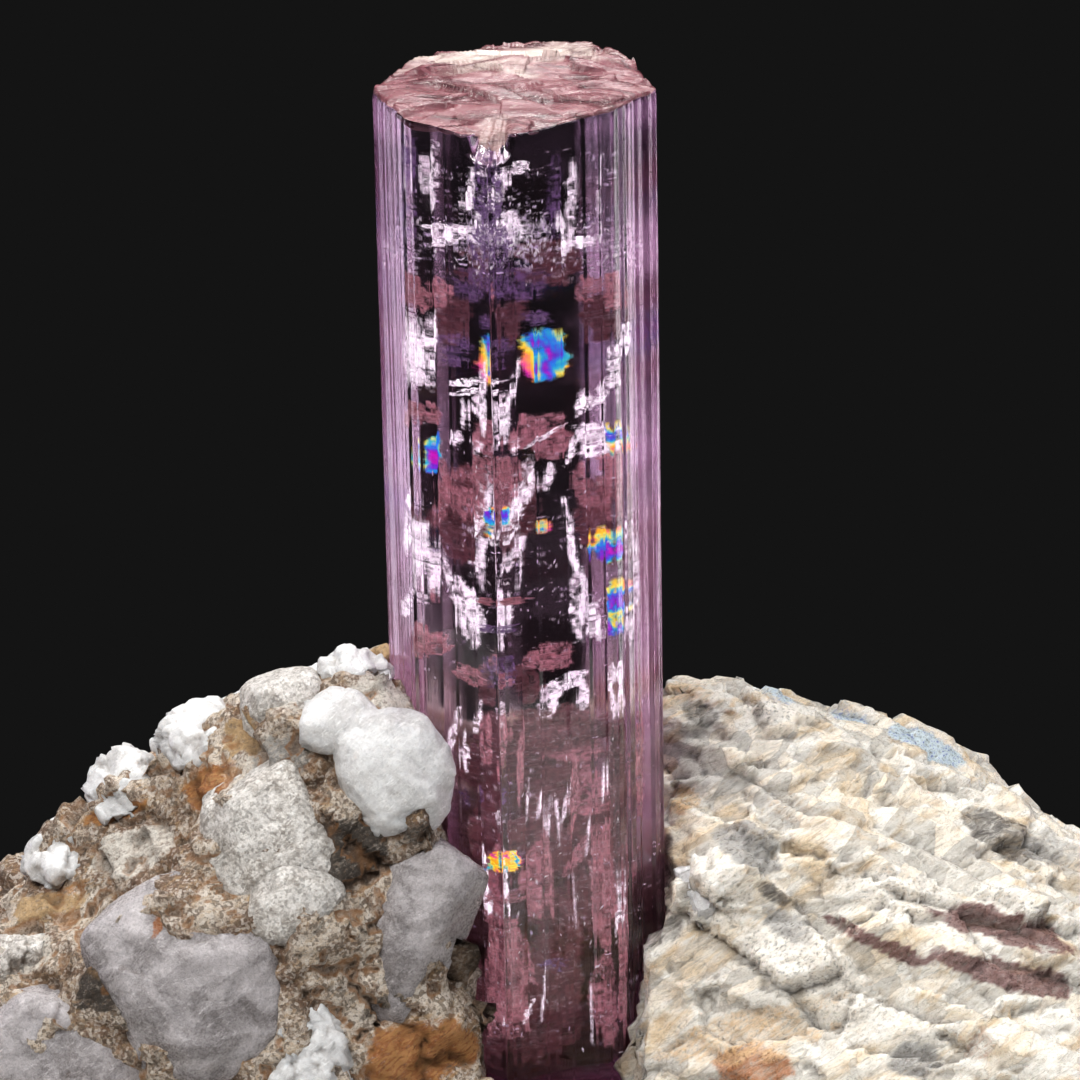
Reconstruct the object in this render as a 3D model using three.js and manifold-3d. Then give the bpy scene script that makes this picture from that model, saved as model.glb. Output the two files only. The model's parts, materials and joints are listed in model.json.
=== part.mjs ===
// A pink topaz crystal standing in its matrix: one tall striated prism, held in a broken
// piece of milky quartz and iron-stained rock with separate lumps of quartz set in it.
// Millimetres, +Z up, the front of the specimen facing -Y. The specimen is described from
// the crystal's axis (x to the right, y to the back, z above the face that it rests on) and
// then moved as a whole, so that the origin lies under the middle of its bounding box.

import * as THREE from "three";
import { ConvexGeometry } from "three/addons/geometries/ConvexGeometry.js";
import { ImprovedNoise } from "three/addons/math/ImprovedNoise.js";
import { TessellateModifier } from "three/addons/modifiers/TessellateModifier.js";
import { mergeVertices } from "three/addons/utils/BufferGeometryUtils.js";
import Module from "manifold-3d";

const wasm = await Module();
wasm.setup();

// Driving dimensions
const CRYSTAL_TOP = 60; // height of the crystal's tip above the resting face
const CRYSTAL_FOOT = 3.4; // height of its buried lower end
const CRYSTAL_LEAN = THREE.MathUtils.degToRad(-1); // the tip leans to the left
const LEAN_CENTRE = 35; // height at which the leaning axis crosses x = 0
const SEAT_GAP = 0.3; // clearance between a crystal or lump and the rock around it

// The prism's corners, seen from above and counter-clockwise from the left corner. The
// two broad faces meet in the front edge, each with a narrower face beside it; the back
// is rounded by many small faces.
const PRISM_CORNERS = [
  [-7.05, 0.0],
  [-5.3, -4.0],
  [-1.35, -7.25],
  [4.7, -3.5],
  [7.0, -0.3],
  [6.1, 3.1],
  [3.9, 5.5],
  [0.4, 6.9],
  [-3.2, 5.9],
  [-5.9, 3.3],
];
const RIDGE_PITCH = 0.95; // spacing of the growth ridges along a face
const RIDGE_DEPTH = 0.09;

// A repeatable random number from 0 to 1 for each whole number and seed.
function chance(index, seed) {
  const wave = Math.sin(index * 127.1 + seed * 311.7 + 0.5) * 43758.5453;
  return wave - Math.floor(wave);
}

const noise = new ImprovedNoise();

// A closed geometry as a solid, with its shared vertices merged.
function solidOf(geometry) {
  const bare = geometry.clone();
  bare.deleteAttribute("normal");
  bare.deleteAttribute("uv");
  const merged = mergeVertices(bare, 1e-4);
  return new wasm.Manifold(
    new wasm.Mesh({
      numProp: 3,
      vertProperties: new Float32Array(merged.attributes.position.array),
      triVerts: new Uint32Array(merged.index.array),
    }),
  );
}

// A solid as a three.js geometry with flat faces.
function geometryOf(solid) {
  const mesh = solid.getMesh();
  const geometry = new THREE.BufferGeometry();
  geometry.setAttribute("position", new THREE.BufferAttribute(mesh.vertProperties, 3));
  geometry.setIndex(new THREE.BufferAttribute(mesh.triVerts, 1));
  return geometry;
}

// The largest single body of a solid, without the crumbs that a cut can leave.
function largestBody(solid) {
  const bodies = solid.decompose();
  return bodies.reduce((a, b) => (b.volume() > a.volume() ? b : a));
}

// The prism's outline with its growth ridges: each face is divided at the ridge pitch and
// every second point stands out from the face. A grown outline is the plain one moved out.
function prismOutline(ridged, grow) {
  const outline = [];
  PRISM_CORNERS.forEach(([x0, y0], k) => {
    const [x1, y1] = PRISM_CORNERS[(k + 1) % PRISM_CORNERS.length];
    const length = Math.hypot(x1 - x0, y1 - y0);
    const outX = (y1 - y0) / length;
    const outY = -(x1 - x0) / length;
    const steps = ridged ? Math.max(2, Math.round(length / RIDGE_PITCH)) : 1;
    for (let i = 0; i < steps; i += 1) {
      const along = i / steps;
      const lift = i % 2 ? RIDGE_DEPTH * (0.4 + chance(i + 9 * k, 3)) : 0;
      outline.push([
        x0 + (x1 - x0) * along + outX * lift,
        y0 + (y1 - y0) * along + outY * lift,
      ]);
    }
  });
  const swell = 1 + grow / 5.6;
  return outline.map(([x, y]) => [x * swell, y * swell]);
}

// Height of the broken top face above its rim plane: a low dome with steps and small hackles.
function topRelief(x, y) {
  const radius = Math.hypot(x, y) / 7;
  const dome = 0.55 * Math.max(0, 1 - radius * radius);
  const steps = 0.3 * noise.noise(x * 0.45 + 3.1, y * 0.7, 1.7);
  return dome + steps + 0.12 * noise.noise(x * 1.7, y * 2.3, 5.2) + 0.05 * y;
}

// The crystal as a closed surface: rings of the outline from foot to rim, then rings that
// shrink to the middle of the broken top face.
function crystalGeometry(ridged, grow) {
  const outline = prismOutline(ridged, grow);
  const rings = [];
  const levels = ridged ? [0, 0.25, 0.5, 0.75, 0.97, 1] : [0, 1];
  const foot = CRYSTAL_FOOT - grow;
  levels.forEach((share) => {
    const z = foot + (CRYSTAL_TOP - 0.6 - foot) * share;
    rings.push(
      outline.map(([x, y], i) => {
        const chip = share === 1 && ridged ? 0.16 * chance(i, 7) : 0;
        return [x * (1 - chip / 7), y * (1 - chip / 7), z - chip];
      }),
    );
  });
  const rim = CRYSTAL_TOP - 0.6;
  const inner = ridged ? [0.94, 0.72, 0.42] : [];
  inner.forEach((share) => {
    rings.push(
      outline.map(([x, y]) => [x * share, y * share, rim + topRelief(x * share, y * share)]),
    );
  });
  const points = rings.flat();
  const count = outline.length;
  const faces = [];
  for (let r = 0; r + 1 < rings.length; r += 1) {
    for (let i = 0; i < count; i += 1) {
      const a = r * count + i;
      const b = r * count + ((i + 1) % count);
      faces.push(a, b, b + count, a, b + count, a + count);
    }
  }
  const last = (rings.length - 1) * count;
  const footCentre = points.push([0, 0, foot]) - 1;
  const topCentre = points.push([0, 0, rim + (ridged ? topRelief(0, 0) : 0)]) - 1;
  for (let i = 0; i < count; i += 1) {
    const j = (i + 1) % count;
    faces.push(footCentre, j, i, last + i, last + j, topCentre);
  }
  const geometry = new THREE.BufferGeometry();
  geometry.setAttribute("position", new THREE.Float32BufferAttribute(points.flat(), 3));
  geometry.setIndex(faces);
  const lean = new THREE.Matrix4()
    .makeTranslation(0, 0, LEAN_CENTRE)
    .multiply(new THREE.Matrix4().makeRotationY(CRYSTAL_LEAN))
    .multiply(new THREE.Matrix4().makeTranslation(0, 0, -LEAN_CENTRE));
  return geometry.applyMatrix4(lean);
}

// The corner points of one broken chunk: points spread evenly over a rounded box of the
// given full size, each moved in or out a little, then turned and put in place.
function chunkPoints({ at, size, turn = [0, 0, 0], seed, corners = 30, boxy = 3, rough = 0.1 }) {
  const golden = Math.PI * (3 - Math.sqrt(5));
  const tilt = new THREE.Euler(...turn.map((degrees) => THREE.MathUtils.degToRad(degrees)));
  const points = [];
  for (let i = 0; i < corners; i += 1) {
    const up = 1 - (2 * (i + 0.5)) / corners;
    const side = Math.sqrt(1 - up * up);
    const angle = golden * i + 0.7 * chance(i, seed + 1);
    const direction = [side * Math.cos(angle), side * Math.sin(angle), up];
    const reach = direction.reduce((sum, c) => sum + Math.abs(c) ** boxy, 0) ** (-1 / boxy);
    const length = reach * (1 - rough * chance(i, seed));
    const point = new THREE.Vector3(...direction.map((c, k) => (c * length * size[k]) / 2));
    points.push(point.applyEuler(tilt).add(new THREE.Vector3(...at)));
  }
  return points;
}

// A chunk as a solid. With a gap, each corner moves away from the middle, which makes the
// pocket that the chunk sits in.
function chunk(spec, gap = 0) {
  const centre = new THREE.Vector3(...spec.at);
  const moved = chunkPoints(spec).map((point) => {
    const out = point.clone().sub(centre).normalize();
    return point.clone().addScaledVector(out, gap);
  });
  return solidOf(new ConvexGeometry(moved));
}

// Separate lumps of quartz set in the rock: the front left first, then the right, then
// the back, which is out of sight from the front.
const LUMPS = {
  white_quartz_lump: {
    finish: "milky",
    parts: [
      { at: [-6.5, -8.0, 25.0], size: [5.6, 5.6, 7.2], turn: [-14, -22, 0], seed: 4, boxy: 2.4 },
      { at: [-9.5, -6.3, 27.0], size: [4.2, 4.2, 3.8], turn: [0, 12, 10], seed: 7, boxy: 2.4 },
    ],
  },
  white_quartz_knob: {
    finish: "milky",
    parts: [
      { at: [-8.4, -2.6, 28.7], size: [4.0, 3.6, 3.4], turn: [0, 14, 0], seed: 12, boxy: 2.3 },
    ],
  },
  grey_quartz_knob: {
    finish: "frosted",
    parts: [
      { at: [-12.1, -3.8, 26.7], size: [3.6, 6.0, 5.0], turn: [20, 16, 8], seed: 15, boxy: 3 },
    ],
  },
  white_crest_chunk: {
    finish: "milky",
    parts: [{ at: [-16.8, -2.0, 24.4], size: [4.8, 5.6, 4.2], turn: [0, -24, 12], seed: 19 }],
  },
  white_crest_chip: {
    finish: "milky",
    parts: [{ at: [-20.3, -2.2, 21.6], size: [4.2, 5.6, 4.4], turn: [0, -30, -8], seed: 23 }],
  },
  white_shoulder_chip: {
    finish: "milky",
    parts: [{ at: [-23.9, -3.2, 18.0], size: [4.6, 5.4, 3.4], turn: [0, -26, 20], seed: 29 }],
  },
  pale_quartz_slab: {
    finish: "frosted",
    parts: [
      { at: [-13.0, -8.6, 21.8], size: [6.8, 4.6, 8.4], turn: [-32, -10, 0], seed: 31, boxy: 3.4 },
      { at: [-11.3, -11.6, 19.4], size: [5.2, 4.6, 4.6], turn: [-18, 24, 0], seed: 37, boxy: 2.4 },
    ],
  },
  grey_quartz_block: {
    finish: "smoky",
    parts: [
      { at: [-16.4, -11.4, 15.8], size: [10.2, 7.0, 10.8], turn: [-20, -24, 6], seed: 41, boxy: 3.6 },
    ],
  },
  grey_quartz_wedge: {
    finish: "smoky",
    parts: [
      { at: [-5.7, -9.7, 17.8], size: [5.4, 5.0, 10.8], turn: [-14, 24, 0], seed: 44, boxy: 3.2 },
    ],
  },
  white_quartz_chip: {
    finish: "milky",
    parts: [
      { at: [-10.9, -13.2, 12.4], size: [4.8, 5.0, 5.6], turn: [0, -30, 12], seed: 47, boxy: 4 },
    ],
  },
  clear_quartz_corner: {
    finish: "smoky",
    parts: [
      { at: [-21.8, -12.0, 11.4], size: [11.0, 6.8, 6.8], turn: [-22, 6, 4], seed: 53, boxy: 3.4 },
    ],
  },
  pale_ledge_block: {
    finish: "frosted",
    parts: [{ at: [-25.9, -7.6, 14.6], size: [5.4, 5.6, 4.2], turn: [-10, -24, 0], seed: 59 }],
  },
  white_quartz_pebble: {
    finish: "milky",
    parts: [
      { at: [9.8, -1.4, 16.0], size: [4.3, 5.2, 4.8], turn: [-24, 8, 0], seed: 61, boxy: 2.2 },
    ],
  },
  back_quartz_lump: {
    finish: "milky",
    parts: [{ at: [-13.0, 14.0, 18.0], size: [10, 8.4, 7.6], turn: [34, -8, 20], seed: 67 }],
  },
  back_grey_block: {
    finish: "smoky",
    parts: [
      { at: [1.5, 20.8, 12.4], size: [9, 7.4, 9.0], turn: [40, -4, -12], seed: 71, boxy: 3.6 },
    ],
  },
};

// The corners of the broken blocks that make up each mass of rock. Each block is the
// convex body around its corners, and the blocks of one mass are joined in one solid.
const HOST_ROCK = [
  // The left shoulder: its skyline, its steep front beside the crystal, and its back.
  [
    [-6.9, 0, 29.4], [-9, -2, 28.8], [-11.4, -2, 28.0], [-15, -2, 25.6], [-18.3, -2, 23.6],
    [-21.5, -2, 20.4], [-25.2, -2, 16.6], [-30, -2, 12.8], [-35, -1, 8.5], [-39.2, 1, 3.5],
    [-39.4, 0, 0], [-4.3, -5.8, 27.0], [-7, -7.3, 26.2], [-2.8, -7.8, 23.2], [-2.2, -8.8, 18.4],
    [-1.6, -10.2, 9.1], [-0.5, -13.5, 4], [-11.4, -8.8, 23.6], [-11.4, -12.3, 18.6],
    [-11.4, -15.4, 9], [-11.4, -17.8, 0], [-16.5, -7.8, 21.8], [-16.5, -12.3, 17.2],
    [-16.5, -15.8, 9], [-21.6, -9, 17], [-21.6, -13.3, 12], [-21.6, -17, 4], [-22, -17.6, 0],
    [-26.7, -9, 13.4], [-27, -15.5, 2], [-34, -10, 6], [-36, -10, 0], [-6, 9, 24],
    [-12, 11, 21], [-20, 11, 16], [-28, 12, 10], [-35, 10, 6], [-37, 8, 0], [-7, 18, 12],
    [-18, 20, 8], [-30, 17, 3], [-31, 17, 0], [-12, 25, 0], [-3, -17.8, 0],
  ],
  // The back of the matrix, behind the crystal.
  [
    [-14, 9, 22.4], [0, 8, 23], [9, 9, 23], [-18, 17, 15.5], [-2, 20, 16], [10, 19, 15.5],
    [-29, 17, 7], [-20, 25, 4], [-4, 28, 5], [12, 27, 4], [-31, 18, 0], [-20, 27, 0],
    [-2, 29.5, 0], [14, 27, 0], [10, 4, 0], [-30, 4, 0],
  ],
  // The sill below the crystal, which closes the gully at its foot.
  [
    [-10, -9, 9], [1, -8.4, 6.8], [8, -8, 9], [-9, -14.8, 8], [3, -15, 5], [9, -14, 7],
    [-11, -17.8, 0], [2, -18.2, 0], [10, -16.6, 0], [12, 4, 0], [-8, 4, 0], [8, 4, 9],
    [-6, 4, 9],
  ],
];
const MILKY_MASS = [
  // The long hump to the right of the crystal.
  [
    [6.9, 8, 24.0], [9.7, 8, 23.7], [12, 8, 22.7], [16.6, 8, 21.1], [21.7, 8.5, 18.8],
    [28.4, 8, 16.4], [34, 7, 13.4], [40, 5, 8.6], [44.6, 2, 3.4], [45.2, 0, 0], [6.6, 2, 16.6],
    [6.4, -0.6, 12.8], [5.4, -4.2, 9.4], [4.9, -8, 5.6], [4.6, -13, 3], [5, -15.6, 0],
    [12, 3, 18.2], [12, -2, 13.8], [12, -9.5, 9.2], [12, -15.4, 3], [19.2, 0, 15.4],
    [19.2, -7, 11.6], [19.2, -12.6, 8], [19.2, -17.2, 0], [28.4, 0, 13.6], [28.4, -8, 11.4],
    [28.4, -12.6, 9.6], [28.4, -16.2, 4], [29, -17.6, 0], [36, -4, 10], [36, -12, 5],
    [37, -14, 0], [44, -5, 2], [8, 16, 20], [18, 18, 14], [30, 16, 9], [40, 11, 4],
    [9, 22, 8], [22, 24, 3], [36, 18, 0], [12, 25, 0],
  ],
  // The far crest, which shows over the hump's right shoulder.
  [
    [12, 13, 21.6], [17, 14, 20.4], [22, 14, 18.4], [26, 13, 16.4], [12, 9, 19], [26, 8, 13],
    [10, 20, 14], [24, 20, 8], [14, 16, 8], [24, 14, 6],
  ],
];

// Hollows broken into the rock: the rusty pocket high on the left, the brown hollow at the
// lower left, the swirl beside the crystal's foot, and the gully that shows the foot.
const HOLLOWS = [
  { at: [-16.1, -6.9, 24.0], size: [5.2, 5.4, 2.9], turn: [-30, -24, 0], seed: 301, corners: 24 },
  { at: [-22.0, -11.6, 16.2], size: [4.6, 5.0, 3.2], turn: [-20, -16, 0], seed: 303, corners: 24 },
  { at: [-4.4, -14.0, 12.2], size: [5.4, 4.4, 2.6], turn: [-20, 10, 0], seed: 307, corners: 24 },
  { at: [2.4, -11.6, 15.4], size: [7.4, 11.0, 20.0], turn: [-12, 4, 0], seed: 305, corners: 34 },
];

// How the broken surface of each mass undulates: lumps and steps of the given height, with
// the given spacing across and along the grain.
const GRAIN = {
  host_rock: { across: 3.4, along: 4.4, height: 0.8, axis: [0.7, -0.3, -0.6], seed: 11.3 },
  milky_quartz_mass: {
    across: 2.8,
    along: 8.5,
    height: 0.75,
    axis: [0.8, -0.45, -0.4],
    seed: 4.7,
  },
};
const ROCK_EDGE = 4.4; // longest edge of the faces of a broken surface

function joined(solids) {
  return solids.reduce((a, b) => a.add(b));
}

// The convex body around a block's corners, which move away from its middle by the gap.
function blockGeometry(corners, gap) {
  const points = corners.map((corner) => new THREE.Vector3(...corner));
  const middle = points.reduce((sum, p) => sum.add(p), new THREE.Vector3());
  middle.divideScalar(points.length);
  return new ConvexGeometry(
    points.map((point) => {
      const out = point.clone().sub(middle).normalize();
      return point.clone().addScaledVector(out, gap * 1.6);
    }),
  );
}

// A solid whose surface is divided into small faces and made uneven, as broken rock is.
// The resting face stays flat: there the surface only moves sideways.
function roughened(solid, { across, along, height, axis, seed }, gap) {
  const divided = new TessellateModifier(ROCK_EDGE, 18).modify(geometryOf(solid).toNonIndexed());
  const merged = mergeVertices(divided, 1e-3);
  merged.computeVertexNormals();
  const { position, normal } = merged.attributes;
  const grain = new THREE.Vector3(...axis).normalize();
  const point = new THREE.Vector3();
  const out = new THREE.Vector3();
  for (let i = 0; i < position.count; i += 1) {
    point.fromBufferAttribute(position, i);
    out.fromBufferAttribute(normal, i);
    const stretch = point.dot(grain) * (1 / along - 1 / across);
    const at = point.clone().divideScalar(across).addScaledVector(grain, stretch);
    const lumps = noise.noise(at.x + seed, at.y, at.z);
    const steps = Math.abs(noise.noise(at.x * 2.1, at.y * 2.1 + seed, at.z * 2.1));
    const lift = height * (1.5 * lumps - 0.8 * steps) + gap;
    const atRest = point.z < gap + 0.01;
    if (atRest) {
      out.z = 0;
    }
    point.addScaledVector(out, atRest ? lift : lift * Math.min(1, 0.2 + point.z / 4));
    position.setXYZ(i, point.x, point.y, atRest ? point.z : Math.max(point.z, 0.35));
  }
  return solidOf(merged);
}

function material(color, roughness, extra = {}) {
  return new THREE.MeshStandardMaterial({ color, roughness, metalness: 0, ...extra });
}

const FINISHES = {
  topaz: material(0xd9a3b4, 0.04, { transparent: true, opacity: 0.55 }),
  milky: material(0xe9e5e0, 0.35),
  frosted: material(0xc4bdb4, 0.55),
  smoky: material(0xa39d98, 0.4),
  milky_mass: material(0xdccdb8, 0.5),
  host: material(0x8d7460, 0.85),
};

const specimen = new THREE.Group();
const pockets = []; // what later pieces are cut by, each a little larger than its piece

// Adds a piece after cutting it clear of every piece placed before it.
function place(name, finish, solid, pocket) {
  const cleared = pockets.reduce((rest, seat) => rest.subtract(seat), solid);
  const mesh = new THREE.Mesh(geometryOf(largestBody(cleared)), FINISHES[finish]);
  mesh.name = name;
  specimen.add(mesh);
  pockets.push(pocket);
}

place(
  "topaz_crystal",
  "topaz",
  solidOf(crystalGeometry(true, 0)),
  solidOf(crystalGeometry(false, SEAT_GAP)),
);
Object.entries(LUMPS).forEach(([name, { finish, parts }]) => {
  place(
    name,
    finish,
    joined(parts.map((part) => chunk(part))),
    joined(parts.map((part) => chunk(part, SEAT_GAP * 1.4))),
  );
});

const hollows = joined(HOLLOWS.map((part) => chunk(part)));
Object.entries({ milky_quartz_mass: MILKY_MASS, host_rock: HOST_ROCK }).forEach(([name, blocks]) => {
  const whole = joined(blocks.map((corners) => solidOf(blockGeometry(corners, 0))));
  const seat = joined(blocks.map((corners) => solidOf(blockGeometry(corners, SEAT_GAP))));
  place(
    name,
    name === "host_rock" ? "host" : "milky_mass",
    roughened(whole, GRAIN[name], 0).subtract(hollows),
    roughened(seat, GRAIN[name], SEAT_GAP),
  );
});

// The origin lies on the resting face, under the middle of the bounding box.
const box = new THREE.Box3().setFromObject(specimen);
specimen.position.set(-(box.min.x + box.max.x) / 2, -(box.min.y + box.max.y) / 2, -box.min.z);

export default specimen;
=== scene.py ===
"""A pink topaz crystal standing in its matrix, dressed for the camera.

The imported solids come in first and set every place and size. Each of them is then
replaced by a finer surface with the same outline: the crystal with its growth striae,
its broken top and the healed cracks inside it, and the matrix with its broken faces,
grains and stains. Lengths in this file are millimetres until a mesh is made.
"""

import itertools
import json
import logging
import math
from collections.abc import Iterable
from dataclasses import dataclass, field, replace
from enum import Enum

import bmesh
import bpy
import numpy as np
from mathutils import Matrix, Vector
from mathutils.bvhtree import BVHTree

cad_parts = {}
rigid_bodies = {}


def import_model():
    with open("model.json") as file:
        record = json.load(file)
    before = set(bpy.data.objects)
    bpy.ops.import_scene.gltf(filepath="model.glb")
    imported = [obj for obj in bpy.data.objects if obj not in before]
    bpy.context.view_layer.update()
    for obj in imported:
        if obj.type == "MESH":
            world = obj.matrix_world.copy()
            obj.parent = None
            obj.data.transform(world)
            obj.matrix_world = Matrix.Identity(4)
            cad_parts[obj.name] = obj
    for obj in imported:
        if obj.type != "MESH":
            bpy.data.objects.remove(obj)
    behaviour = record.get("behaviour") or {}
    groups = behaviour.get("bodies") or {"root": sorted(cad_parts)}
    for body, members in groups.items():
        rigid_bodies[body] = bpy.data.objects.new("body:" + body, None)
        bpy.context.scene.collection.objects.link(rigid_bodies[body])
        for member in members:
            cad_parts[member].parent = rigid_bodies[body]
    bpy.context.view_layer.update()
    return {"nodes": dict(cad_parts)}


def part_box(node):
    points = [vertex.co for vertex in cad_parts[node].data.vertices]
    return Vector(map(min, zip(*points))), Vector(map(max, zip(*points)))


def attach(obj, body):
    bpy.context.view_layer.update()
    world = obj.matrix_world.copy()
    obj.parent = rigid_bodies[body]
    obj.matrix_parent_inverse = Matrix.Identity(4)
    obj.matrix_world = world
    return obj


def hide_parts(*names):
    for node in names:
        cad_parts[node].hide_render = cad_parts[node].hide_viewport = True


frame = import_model()

log = logging.getLogger("topaz")

MM = 0.001  # one millimetre in the scene's metres
FRAME_PIXELS = 1080  # the image is square
PIXELS_PER_MM = 19.6  # of the photograph, at the crystal
AXIS_COLUMN = 524  # the pixel column of the crystal's axis

# The crystal's own corner in the coordinates that the specimen was drawn in, whose
# origin lies on the crystal's axis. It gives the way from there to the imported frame.
CRYSTAL_LOW_CORNER = np.array([-7.44545, -7.25, 3.28177])


def axis_to_frame() -> np.ndarray:
    """Offset in millimetres from the crystal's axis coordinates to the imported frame."""
    low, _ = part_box("topaz_crystal")
    return np.array(low) / MM - CRYSTAL_LOW_CORNER


SHIFT = axis_to_frame()


# Noise on whole arrays of points


def hashed(cells: np.ndarray, seed: int) -> np.ndarray:
    """A repeatable random number from 0 to 1 for each whole-number cell.

    Args:
        cells: Whole numbers, one row of three for each cell.
        seed: Any whole number.

    Returns:
        One number for each row.
    """
    mixed = cells[:, 0] * 374761393 + cells[:, 1] * 668265263 + cells[:, 2] * 1440662683
    mixed = mixed + (seed + 1) * 1274126177
    mixed = (mixed ^ (mixed >> 13)) & 0xFFFFFFFF
    mixed = (mixed * 1274126177) & 0xFFFFFFFF
    mixed = mixed ^ (mixed >> 16)
    return (mixed & 0xFFFFFF) / float(0xFFFFFF)


def soft_noise(points: np.ndarray, seed: int) -> np.ndarray:
    """Smooth noise from -1 to 1.

    Formula: a random number at each whole-number point, blended along each axis by the
    step 3t^2 - 2t^3, then spread to the range -1 to 1.

    Args:
        points: One row of three coordinates for each point.
        seed: Any whole number.

    Returns:
        One number for each point.
    """
    base = np.floor(points).astype(np.int64)
    part = points - base
    blend = part * part * (3 - 2 * part)
    total = np.zeros(len(points))
    for corner in itertools.product((0, 1), repeat=3):
        weight = np.prod(np.where(corner, blend, 1 - blend), axis=1)
        total += weight * hashed(base + np.array(corner), seed)
    return 2 * total - 1


def layered_noise(points: np.ndarray, octaves: int, seed: int) -> np.ndarray:
    """Noise summed over octaves, each twice as fine and about half as strong.

    Args:
        points: One row of three coordinates for each point.
        octaves: Number of layers.
        seed: Any whole number.

    Returns:
        One number from about -1 to 1 for each point.
    """
    total = np.zeros(len(points))
    reach = 0.0
    for octave in range(octaves):
        strength = 0.52**octave
        total += strength * soft_noise(points * 2.03**octave + 11.7 * octave, seed + 31 * octave)
        reach += strength
    return total / reach


def broken_faces(points: np.ndarray, seed: int) -> tuple[np.ndarray, np.ndarray]:
    """Height of a surface broken into flat faces, and the distance to the nearest edge.

    Formula: one seed point is scattered in each unit cell. A point takes the height of
    the randomly tilted and lifted plane through its nearest seed. The edge distance is
    that to the second nearest seed less that to the nearest.

    Args:
        points: One row of three coordinates for each point, in cells.
        seed: Any whole number.

    Returns:
        Heights from about -1 to 1, and edge distances in cells.
    """
    base = np.floor(points).astype(np.int64)
    nearest = np.full(len(points), 9.0)
    second = np.full(len(points), 9.0)
    height = np.zeros(len(points))
    for step in itertools.product((-1, 0, 1), repeat=3):
        cell = base + np.array(step)
        scatter = np.stack([hashed(cell, seed + k) for k in range(3)], axis=1)
        slope = np.stack([hashed(cell, seed + 5 + k) - 0.5 for k in range(3)], axis=1)
        away = points - cell - scatter
        gap = np.sum(away * away, axis=1)
        plane = 1.5 * np.sum(away * slope, axis=1) + hashed(cell, seed + 9) - 0.5
        nearer = gap < nearest
        second = np.where(nearer, nearest, np.minimum(second, gap))
        height = np.where(nearer, plane, height)
        nearest = np.where(nearer, gap, nearest)
    return height, np.sqrt(second) - np.sqrt(nearest)


def side_by_side(*parts: np.ndarray | float) -> np.ndarray:
    """Coordinates as columns, one row for each point, with single numbers repeated."""
    return np.stack(np.broadcast_arrays(*parts), axis=1)


def smooth_step(values: np.ndarray, low: float, high: float) -> np.ndarray:
    """A soft step: 0 below low, 1 above high, and 3t^2 - 2t^3 between them."""
    share = np.clip((values - low) / (high - low), 0, 1)
    return share * share * (3 - 2 * share)


# The camera, and the way from a pixel of the photograph to a place on the object


@dataclass(frozen=True)
class Viewpoint:
    """The photograph's camera, in the crystal's axis coordinates.

    Attributes:
        elevation: Degrees above the horizon.
        opening: Full angle of view in degrees.
        distance: From the camera to the target.
        target: The point in the middle of the picture.
    """

    elevation: float = 24.0
    opening: float = 10.0
    distance: float = 315.0
    target: tuple[float, float, float] = (0.82, 0.0, 35.0)

    @property
    def forward(self) -> np.ndarray:
        """Unit vector along the line of sight."""
        angle = math.radians(self.elevation)
        return np.array([0.0, math.cos(angle), -math.sin(angle)])

    @property
    def up(self) -> np.ndarray:
        """Unit vector to the top of the picture."""
        angle = math.radians(self.elevation)
        return np.array([0.0, math.sin(angle), math.cos(angle)])

    @property
    def position(self) -> np.ndarray:
        """Place of the camera."""
        return np.array(self.target) - self.distance * self.forward

    def rays(self, across: np.ndarray, down: np.ndarray) -> np.ndarray:
        """Unit vectors from the camera through pixels.

        Args:
            across: Pixel columns from the left.
            down: Pixel rows from the top.

        Returns:
            One row of three for each pixel.
        """
        middle = FRAME_PIXELS / 2
        reach = math.tan(math.radians(self.opening / 2)) / middle
        right = np.array([1.0, 0.0, 0.0])
        rays = (
            self.forward
            + np.multiply.outer((np.asarray(across) - middle) * reach, right)
            + np.multiply.outer((middle - np.asarray(down)) * reach, self.up)
        )
        return rays / np.linalg.norm(rays, axis=-1, keepdims=True)

    def place_camera(self) -> None:
        """Makes the camera and gives it to the scene."""
        data = bpy.data.cameras.new("camera")
        data.sensor_width = 36.0
        data.lens = data.sensor_width / 2 / math.tan(math.radians(self.opening / 2))
        data.clip_start = 0.01
        data.clip_end = 20.0
        camera = bpy.data.objects.new("camera", data)
        camera.location = Vector((self.position + SHIFT) * MM)
        camera.rotation_euler = (math.radians(90 - self.elevation), 0.0, 0.0)
        bpy.context.scene.collection.objects.link(camera)
        bpy.context.scene.camera = camera


VIEWPOINT = Viewpoint()


# The prism that the crystal fills, which the rock stays out of


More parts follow.
